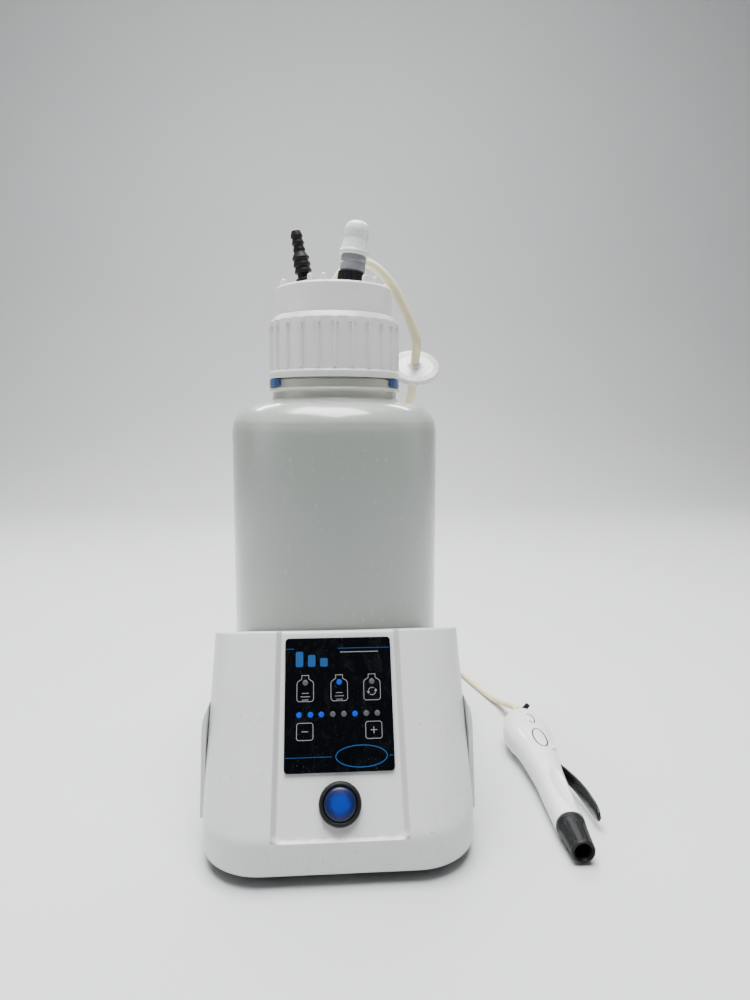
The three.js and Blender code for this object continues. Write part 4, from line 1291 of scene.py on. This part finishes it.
def taller(profile, step=6.0):
    """An outline with points added along its long straight stretches."""
    made = []
    for i, a in enumerate(profile):
        b = profile[(i + 1) % len(profile)]
        made.append(a)
        long = math.hypot(b[0] - a[0], b[1] - a[1])
        for t in np.arange(1, int(long / step)) / int(long / step) if long > 2 * step else []:
            made.append((a[0] + (b[0] - a[0]) * t, a[1] + (b[1] - a[1]) * t, 0))
    return made


flask = make("collection_bottle", turned(taller(outside), 192, 0.4, bottle_ripple))
piece(flask, BOTTLE, "bottle", ["bottle"], 40)

thread_points = []
for t in np.linspace(0, 1, 160):
    a = t * TAU * 2.2
    thread_points.append((47.7 * math.cos(a), 47.7 * math.sin(a), 338 + 7.5 * a / TAU))
ends = np.clip(np.minimum(np.arange(160), np.arange(160)[::-1]) / 8, 0.15, 1) * 0.55
thread = make("bottle_thread", sweep(thread_points, ends, 8, steps=0))
piece(thread, BOTTLE, "bottle")

half_opening = math.radians(56)
clip_angles = np.linspace(-math.pi / 2 + half_opening, 1.5 * math.pi - half_opening, 120)
clip_rings = []
for i, a in enumerate(clip_angles):
    end = min(i, len(clip_angles) - 1 - i)
    tall = 3.35 if end > 3 else 3.35 - (3 - end) * 0.35
    thick = 51.95 if end > 3 else 51.95 - (3 - end) * 0.2
    loop = rounded(
        [(50.25, 326.95 - tall), (thick, 326.95 - tall), (thick, 326.95 + tall), (50.25, 326.95 + tall)],
        0.5, 3
    )
    clip_rings.append(np.c_[loop[:, 0] * math.cos(a), loop[:, 0] * math.sin(a), loop[:, 1]])
piece(make("neck_collar", skin(clip_rings)), CLIP, "bottle", ["neck_clip"])

# ---- Screw ring and cap head ----

RIBS = 24
RING_FOOT = 330.6


def ring_ribs(r, z, a):
    """Upright ribs, each under a wider block, on a band that stays smooth at its foot."""
    turn_share = (a / TAU * RIBS) % 1
    off = np.minimum(turn_share, 1 - turn_share) * TAU / RIBS * 51
    rib = np.clip((1.15 - off) / 0.45, 0, 1)
    block_wide = np.clip((3.0 - off) / 0.6, 0, 1)
    body = (r > 49.6) & (r < 50.4)
    up = np.clip((z - 337.4) / 0.8, 0, 1) * np.clip((373.4 - z) / 1.0, 0, 1)
    high = np.clip((z - 370.2) / 0.7, 0, 1) * np.clip((374.6 - z) / 0.6, 0, 1)
    lift = np.maximum(2.25 * eased(rib) * up, 2.0 * eased(block_wide) * high)
    return r + np.where(body, lift, 0)


ring_outline = [(48.7, RING_FOOT, 0.4), (51.9, RING_FOOT, 0.8), (52.25, 335.4, 0.9), (50.0, 336.6, 0.3)]
ring_outline += [
    (50.0, z, 0)
    for z in np.concatenate(
        [np.linspace(337.2, 338.6, 5), np.linspace(341, 367, 6), np.linspace(369.4, 374.3, 16)]
    )
]
ring_outline += [
    (49.8, 374.9, 0.3), (47.6, 378.2, 0.4), (46.9, 378.8, 0.3), (46.55, 378.6, 0.2), (46.55, 374.8, 0.2),
    (48.7, 374.8, 0.4)
]
collar = make("ribbed_ring", turned(ring_outline, 24 * 40, 0.3, ring_ribs, steps=3))
piece(collar, CAP_WHITE, "ring", ["screw_ring"], 40)

head_outline = [
    (0, HEAD_TOP), (45.0, HEAD_TOP, 1.4), (46.0, 399.4, 0.6), (46.0, 373.3, 0.3), (47.8, 373.2, 0.3),
    (47.8, 370.6, 0.3), (42.3, 370.6, 0.3), (42.3, 360, 0.8), (39.5, 360, 0.8), (39.5, 396.5, 2),
    (0, 396.5)
]
cap = make("cap_cover", turned(head_outline, 192, 0.4))
peg = turned([(0, -1), (2.3, -1, 0), (1.9, 3.9, 0), *arc(0, 3.9, 1.9, 0, 80, 8), (0, 5.8)], 32, 0.2)
for i in range(6):
    for degrees in (-26.4 + 60 * i, -11.6 + 60 * i):
        a = math.radians(degrees - 90)
        combine(cap, peg.moved(41 * math.cos(a), 41 * math.sin(a), HEAD_TOP), "UNION")
combine(
    cap, turned([(0, -3.4), (8.6, -3.4), (8.3, 0.2, 0.5), (7.9, 1.5, 0.5), (0, 1.5)], 64).at(BARB),
    "UNION"
)
combine(
    cap, turned([(0, -3.4), (12.8, -3.4), (12.4, 0.2, 0.6), (11.9, 1.8, 0.6), (0, 1.8)], 80).at(COUPLING),
    "UNION"
)
combine(
    cap, turned([(0, -3.4), (7.6, -3.4), (7.2, 3, 0.5), (6.9, 3.9, 0.5), (0, 3.9)], 64).at(VACUUM),
    "UNION"
)
for frame_of, size in ((BARB, 4.1), (COUPLING, 6.4), (VACUUM, 3.4)):
    combine(cap, turned([(0, -30), (size, -30), (size, 20), (0, 20)], 64, 0).at(frame_of))
piece(cap, CAP_WHITE, "head", ["cap_head"])

barb_outline = [
    (1.9, -14, 0.2), (3.8, -14, 0.2), (3.8, 1.9, 0), (6.6, 2.4, 0.4), (6.6, 4, 0.5), (4.8, 4.5, 0.4),
    (4.8, 8, 0)
]
for foot, wide, narrow, long in (
    (8, 6.6, 5.4, 5), (13, 6.6, 5.4, 5), (18, 6.6, 4.2, 6), (24, 4.7, 3.6, 5), (29, 4.7, 3.6, 5),
    (34, 4.6, 3.5, 5.2)
):
    barb_outline += [
        (wide - 0.2, foot + 0.15, 0.25), (wide, foot + 1.3, 0.7), (narrow, foot + long - 0.3, 0.5)
    ]
barb_outline += [(3.1, 39.4, 0.5), (1.9, 39.4, 0.3)]
piece(
    make("hose_barb", turned(barb_outline, 96).at(BARB)), BLACK, "head", ["inlet_barb"]
)

# ---- Suction coupling ----

socket_outline = [
    (3, -14, 0.3), (6, -14, 0.3), (6, 2.2, 0), (8, 2.6, 0), (8, 11.1, 0.2), (9.7, 11.5, 0.4),
    (9.7, 17, 0), (9.45, 17.4, 0.2), (9.45, 18.2, 0.2), (9.7, 18.6, 0), (9.7, 23, 0.5), (8.7, 23, 0.3),
    (8.7, 13, 0.3), (3, 13, 0.3)
]
piece(
    make("coupling_body", turned(socket_outline, 96).at(COUPLING)), SMOKE, "head",
    ["coupling_socket"]
)


def knurls(r, z, a):
    share = (a / TAU * 20) % 1
    return r + np.where(
        (r > 9.8) & (z > 3.4) & (z < 10.4), 0.75 * np.clip(1.9 - 4.2 * np.abs(share - 0.5), 0, 1), 0
    )


nut_outline = [
    (8.25, 2.9, 0.3), (9.7, 2.9, 0.3), (10.1, 3.6, 0), (10.1, 4.0, 0), (10.1, 9.8, 0), (10.1, 10.2, 0),
    (9.6, 10.8, 0.3), (8.25, 10.8, 0.2)
]
piece(
    make("knurled_nut", turned(nut_outline, 240, 0.3, knurls).at(COUPLING)), BLACK, "head",
    ["coupling_nut"], 40
)

closure_outline = [
    (0, 14),
    (6.2, 14, 0.8),
    (8.3, 17, 0.8),
    (8.3, 23.4, 0.3),
    (11.6, 23.4, 0.6),
    (11.8, 25.8, 0.6),
    (11.1, 27, 0.8),
    (10.7, 28.6, 0.8),
    (10.0, 31.4, 0.8),
    (9.2, 34.4, 0.6),
    (9.0, 35.8, 0.5),
    (9.3, 37.4, 0.6),
    (9.55, 40, 1.2),
    (9.5, 42.6, 1.2),
    (8.5, 46, 1.8),
    (6.4, 48.4, 1.5),
    (4.4, 49.1, 1.2),
    (0, 49.3),
]


def closure_grip(r, z, a):
    return r + np.where((z > 27.4) & (z < 34.2) & (r > 8), 0.22 * np.cos(8 * a) ** 8 - 0.1, 0)


closure = make(
    "push_on_stopper", turned(taller(closure_outline, 1.6), 160, 0.3, closure_grip, steps=6).at(COUPLING)
)
piece(closure, CLEAR, "closure", ["coupling_closure"])

# ---- Vacuum side: nozzle, hoses and the in-line filter ----

vacuum_outline = [
    (1.5, -10, 0.2), (3.1, -10, 0.2), (3.1, 4.2, 0), (6.2, 4.2, 0.3), (6.2, 5.4, 0.4), (2.3, 5.4, 0.2),
    (2.3, 14, 0.3), (1.5, 14, 0.2)
]
piece(
    make("head_nozzle", turned(vacuum_outline, 64).at(VACUUM)), CLEAR, "head",
    ["vacuum_nozzle"]
)


def rim_ribs(r, z, a):
    """Fine radial ribs across the rim band."""
    share = (a / TAU * 48) % 1
    return r + np.where(r > 21.9, 0.28 * np.clip(1.5 - 4 * np.abs(share - 0.5), -1, 1) - 0.28, 0)


def radial_ribs(points, segments):
    """Ribs that run out across the top of the rim, made by lifting the points of a turned half."""
    r = np.hypot(points[:, 0], points[:, 1])
    a = np.arctan2(points[:, 1], points[:, 0])
    share = (a / TAU * 48) % 1
    lift = 0.8 * np.clip(1.6 - 4.5 * np.abs(share - 0.5), 0, 1)
    made = points.copy()
    band = (r > 15.8) & (r < 21.6) & (points[:, 2] > 2.3)
    made[band, 2] += lift[band]
    return made


half_outline = [
    (1.5, 0.9, 0), (19.4, 0.9, 0), (19.4, 0.2, 0), (22.2, 0.2, 0.2), (22.2, 2.1, 0.6), (21.5, 2.4, 0)
]
half_outline += [
    (21, 2.45, 0), (18.8, 2.55, 0), (16.8, 2.65, 0), (15.6, 2.7, 0), (15, 2.4, 0.3), (7.4, 3.2, 0.6),
    (5.6, 4.6, 0.8), (4.4, 6.2, 0.5), (2.35, 6.6, 0.3), (2.35, 16, 0.3), (1.5, 16, 0.2)
]
half = turned(half_outline, 48 * 12, 0.3, rim_ribs)
half = Solid(radial_ribs(half.points, 576), half.faces)
for name, flip in (("upper", np.eye(4)), ("lower", turn("X", 180))):
    shell = make("filter_half_" + name, half.at(flip).at(FILTER))
    piece(shell, CAP_WHITE, "head", ["filter_%s_shell" % name], 40)


def along(matrix, height):
    return placed([(0, 0, height)], matrix)[0]


HUB = 14
upper_hose = [
    along(VACUUM, 6.2), along(VACUUM, 10), along(VACUUM, 15.5), (11, 27.5, 424.5), (21, 27.5, 429.3),
    (32.5, 28, 426.6), (42.8, 29, 418.6), (52.4, 30.3, 406.3), (60.6, 31.8, 391.4), (67.2, 34, 377),
    (71, 36.8, 366.4)
]
upper_hose += [along(FILTER, HUB + 4), along(FILTER, HUB - 7)]
lower_hose = [
    along(FILTER, 7 - HUB), along(FILTER, -HUB - 4), along(FILTER, -HUB - 14), (70.4, 96, 308),
    (67, 117, 286), (62.5, 135, 257), (59.4, 147, 229), (58, 151.4, 206), (58, 152, 188), (58, 152, 168.9)
]
piece(
    make("vacuum_hose", sweep(upper_hose, 3.98, 40, 2.75, 10)), SILICONE, "head",
    ["filter_hose"]
)
piece(
    make("pump_line", sweep(lower_hose, 3.98, 40, 2.75, 10)), SILICONE, "head", ["pump_hose"]
)

# ---- Hand controller ----

HAND_STATIONS = [
    # along, middle across, half width, half thickness
    (30.3, -1, 10.8, 10.7),
    (43.6, -0.8, 10.9, 10.8),
    (58, -0.5, 11.2, 11),
    (72.5, -0.1, 11.5, 11.3),
    (87, 0.4, 12.1, 11.6),
    (99, 0.7, 13.1, 12.1),
    (111, 1, 14.3, 12.6),
    (122, 1.3, 15.6, 13.2),
    (133, 1.4, 17.1, 13.7),
    (140.5, 1.2, 18.45, 14.1),
    (146.5, 0.9, 19.85, 14.4),
    (152.5, 0.8, 20.85, 14.7),
    (159, 0.7, 21.45, 14.8),
    (166, 0.7, 21.25, 14.7),
    (173.5, 0.9, 20.35, 14.4),
    (180.5, 1.2, 18.65, 13.7),
    (187, 1.5, 17.2, 12.8),
    (192, 1.8, 14.6, 11.5),
    (196.5, 2.1, 12, 10),
    (199.7, 2.3, 8.4, 7.6),
    (201.5, 2.4, 7, 6.7),
    (202, 2.4, 5.8, 5.6),
]


def hand_rings(inward=0.0, around=96, steps=7):
    table = spline(HAND_STATIONS, steps)
    rings = []
    angle = (np.arange(around) + 0.5) / around * TAU
    c, s = np.cos(angle), np.sin(angle)
    for place, middle, wide, thick in table:
        x = np.sign(c) * np.abs(c) ** 0.9
        z = np.sign(s) * np.abs(s) ** 0.9
        x, z = middle + (wide - inward) * x, (thick - inward) * z
        if not inward:
            # The joint between the halves is a fine groove.
            x = np.where(np.abs(z) < 0.5, middle + (x - middle) * (1 - 0.28 / wide), x)
        rings.append(np.c_[x, np.full(around, place), z])
    return rings


hand = make("hand", skin(hand_rings()).at(HAND))
inner = hand_rings(3.0, 64, 3)
inner[0][:, 1] -= 5
inner[-1][:, 1] += 5
combine(hand, skin(inner).at(HAND))
# A long thumb rest is scooped into the upper side near the nose.
ball = turned(arc(0, 0, 1, -90, 90, 40), 96, 0)
thumb_rest = Solid(ball.points * (17, 46, 14) + (5.5, 62, 22.3), ball.faces)
combine(hand, thumb_rest.at(HAND))
window = round_box(13.6, 42.5, 2, 6, foot=86)
combine(
    hand, skin([np.c_[np.full(len(window), x), window[:, 1], window[:, 0]] for x in (6, 30)]).at(HAND)
)
for name, low, high in (("upper", 0.1, 40), ("lower", -40, -0.1)):
    shell = add("hand_half_" + name, hand.data.copy())
    combine(shell, box((-40, 0, low), (40, 250, high)).at(HAND), "INTERSECT")
    sign = 1 if low > 0 else -1
    lug = turned([(1.65, 6.9), (4, 6.9), (4, 11.6), (1.65, 11.6)], 40, 0.2)
    lug = lug if sign > 0 else lug.at(turn("X", 180))
    combine(shell, lug.moved(*TRIGGER_PIVOT).at(HAND), "UNION")
    if low > 0:
        badge = prism(round_box(6.4, 11, 3.1, 8, foot=-5.5), 14.15, 15.1, 0.25)
        combine(shell, badge.moved(1.4, 166.7).at(HAND), "UNION")
    piece(shell, HAND_WHITE, "base", ["hand_shell_" + name], 36)
bpy.data.objects.remove(hand)


def on_shell(flat):
    """A flat solid of (across, along, height) laid onto the upper shell."""
    table = spline(HAND_STATIONS, 7)
    across, place, height = flat.points.T
    middle, wide, thick = (np.interp(place, table[:, 0], table[:, i]) for i in (1, 2, 3))
    c = np.clip(np.abs(across - middle) / wide, 0, 0.98) ** (1 / 0.9)
    top = thick * np.sqrt(1 - c * c) ** 0.9
    return Solid(np.c_[across, place, top + height], flat.faces)


marks = [ribbon(oval(3.6, 133, 5.4, 14), 1.2, -0.05, 0.08)]
marks.append(ribbon(oval(3.6, 166, 2.9, 9), 1.0, -0.05, 0.08))
marks.append(ribbon(oval(3.6, 169.5, 1.3, 2.6, 24), 0.8, -0.05, 0.08))
piece(make("hand_marks", on_shell(together(marks)).at(HAND)), BLACK, "base")


def flutes(r, z, a):
    share = (a / TAU * 10) % 1
    groove = np.clip((0.2 - np.abs(share - 0.5)) / 0.08, 0, 1)
    run = np.clip((z - 2.4) / 2, 0, 1) * np.clip((23.4 - z) / 3, 0, 1)
    return r - np.where(r > 7.2, 0.85 * eased(groove) * run, 0)


nose_outline = [(5.4, 2.4, 0.3), (6.6, 0.1, 0.5), (7.7, 0, 0.6), (8.3, 1.2, 0.8)]
nose_outline += [(8.3 + 0.075 * (z - 1.2), z, 0) for z in np.linspace(2, 24, 24)]
nose_outline += [
    (10.2, 24.6, 0.3), (10.35, 26, 0), (10.1, 26.3, 0.1), (10.1, 26.7, 0.1), (10.4, 27, 0),
    (10.5, 29.9, 0.4), (5.4, 30, 0.3), (5.4, 14, 0.2)
]
nose = make("nose_collar", turned(nose_outline, 240, 0.3, flutes).at(turn("X", -90)).moved(-1).at(HAND))
piece(nose, BLACK, "nose", ["nose_nut"], 40)

BLADE = [
    # along, middle across, half thickness, half height
    (126.4, 9.6, 1.6, 4.6),
    (121.5, 9.6, 3, 5),
    (112, 10.8, 2.4, 5.2),
    (104, 12.6, 2.1, 5.5),
    (95, 15.6, 2, 5.9),
    (84, 18.7, 2, 6.1),
    (67.5, 21.3, 2, 6.8),
    (54, 22.5, 2, 6.6),
    (47, 22.9, 2, 5.9),
    (42.4, 23, 1.9, 4.9),
    (39.4, 22.9, 1.6, 3.6),
    (37.8, 22.9, 1, 2.1),
]
rings = []
angle = np.arange(56) / 56 * TAU
for place, middle, thick, high in spline(BLADE, 8):
    ridge = 0.35 * np.exp(-((np.sin(angle) * 3.2) ** 2)) * (np.cos(angle) > 0)
    shape = np.sign(np.cos(angle)) * np.abs(np.cos(angle)) ** 0.7
    rings.append(np.c_[middle + (thick - 0.3) * shape + ridge, np.full(56, place), high * np.sin(angle)])
lever = make("trigger_blade", skin(rings).at(HAND))
combine(lever, box((4.4, 108, -2), (14.5, 112, 2)).at(HAND), "UNION")
combine(lever, turned([(0, -12), (1.7, -12), (1.7, 12), (0, 12)], 32, 0).moved(*TRIGGER_PIVOT).at(HAND))
piece(lever, GLOSS_BLACK, "trigger", ["trigger"], 40)

# ---- The CAD pieces that stay ----

KEPT = {
    STEEL: [
        "base_screw_front_left", "base_screw_front_right", "base_screw_rear_left",
        "base_screw_rear_right", "button_spring", "motor", "crankshaft", "crank_bearing", "pump_bracket",
        "trigger_pin", "trigger_spring"
    ],
    ALUMINIUM: ["power_supply", "crankcase", "connecting_rod", "pump_head_plate"],
    BLACK: ["base_plate", "button_switch", "cooling_fan", "pump_head_cover"],
    RUBBER: ["diaphragm", "valve_gasket", "cap_gasket", "pipette_seat"],
    CLEAR: ["slip_washer", "filter_membrane"],
    SILICONE: ["pinch_tube"],
    BOARD: ["control_board"],
}
for finish, names in KEPT.items():
    for name in names:
        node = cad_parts[name]
        node.data.materials.clear()
        node.data.materials.append(finish)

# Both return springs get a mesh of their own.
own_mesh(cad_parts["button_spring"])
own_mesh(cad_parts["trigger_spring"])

# ---- Stage and light ----

stage_finish = Finish("pale stage", (0.62, 0.63, 0.64), 0.55)
stage_finish.tint(stage_finish.noise(0.4, 4, 0.6, low=0.3, high=0.7), (0.6, 0.61, 0.62))
STAGE = stage_finish.done()
profile = [(-3.5, 0.0), (1.6, 0.0)]
profile += [
    (1.6 + 1.2 * math.sin(a), 1.2 - 1.2 * math.cos(a)) for a in np.linspace(0, math.pi / 2, 25)[1:]
]
profile += [(2.8, 5.0)]
mesh = bpy.data.meshes.new("backdrop")
points = [(x, y, z) for x in (-4.5, 4.5) for y, z in profile]
count = len(profile)
mesh.from_pydata(points, [], [(i, count + i, count + i + 1, i + 1) for i in range(count - 1)])
backdrop = add("backdrop", mesh)
backdrop.data.materials.append(STAGE)
backdrop.data.shade_smooth()

world = bpy.data.worlds.new("soft world")
bpy.context.scene.world = world
world.use_nodes = True
world.node_tree.nodes["Background"].inputs["Color"].default_value = (1.0, 0.99, 0.97, 1)
world.node_tree.nodes["Background"].inputs["Strength"].default_value = 0.13


def softbox(name, place, target, size, power):
    light = bpy.data.lights.new(name, "AREA")
    light.shape = "RECTANGLE"
    light.size, light.size_y = size
    light.energy = power
    made = add(name, light)
    made.location = place
    made.rotation_euler = (Vector(target) - Vector(place)).to_track_quat("-Z", "Y").to_euler()


softbox("ceiling", (-0.15, -0.1, 2.1), (-0.05, 0.0, 0.2), (1.6, 1.2), 130)
softbox("left_panel", (-1.7, -0.3, 0.9), (0, 0, 0.25), (1.0, 1.6), 5)
softbox("right_panel", (1.8, 0.1, 0.9), (0, 0, 0.25), (1.0, 1.6), 3)
softbox("wall_wash", (0, 1.0, 2.9), (0, 2.8, 1.1), (3.0, 0.8), 34)
for across, height in ((-0.7, 1.5), (0.6, 1.62), (0.0, 1.95)):
    softbox("rear_strip", (across, 1.5, height), (0, 0, 0.3), (1.0, 0.1), 12)

# ---- The end ----

bpy.context.view_layer.update()
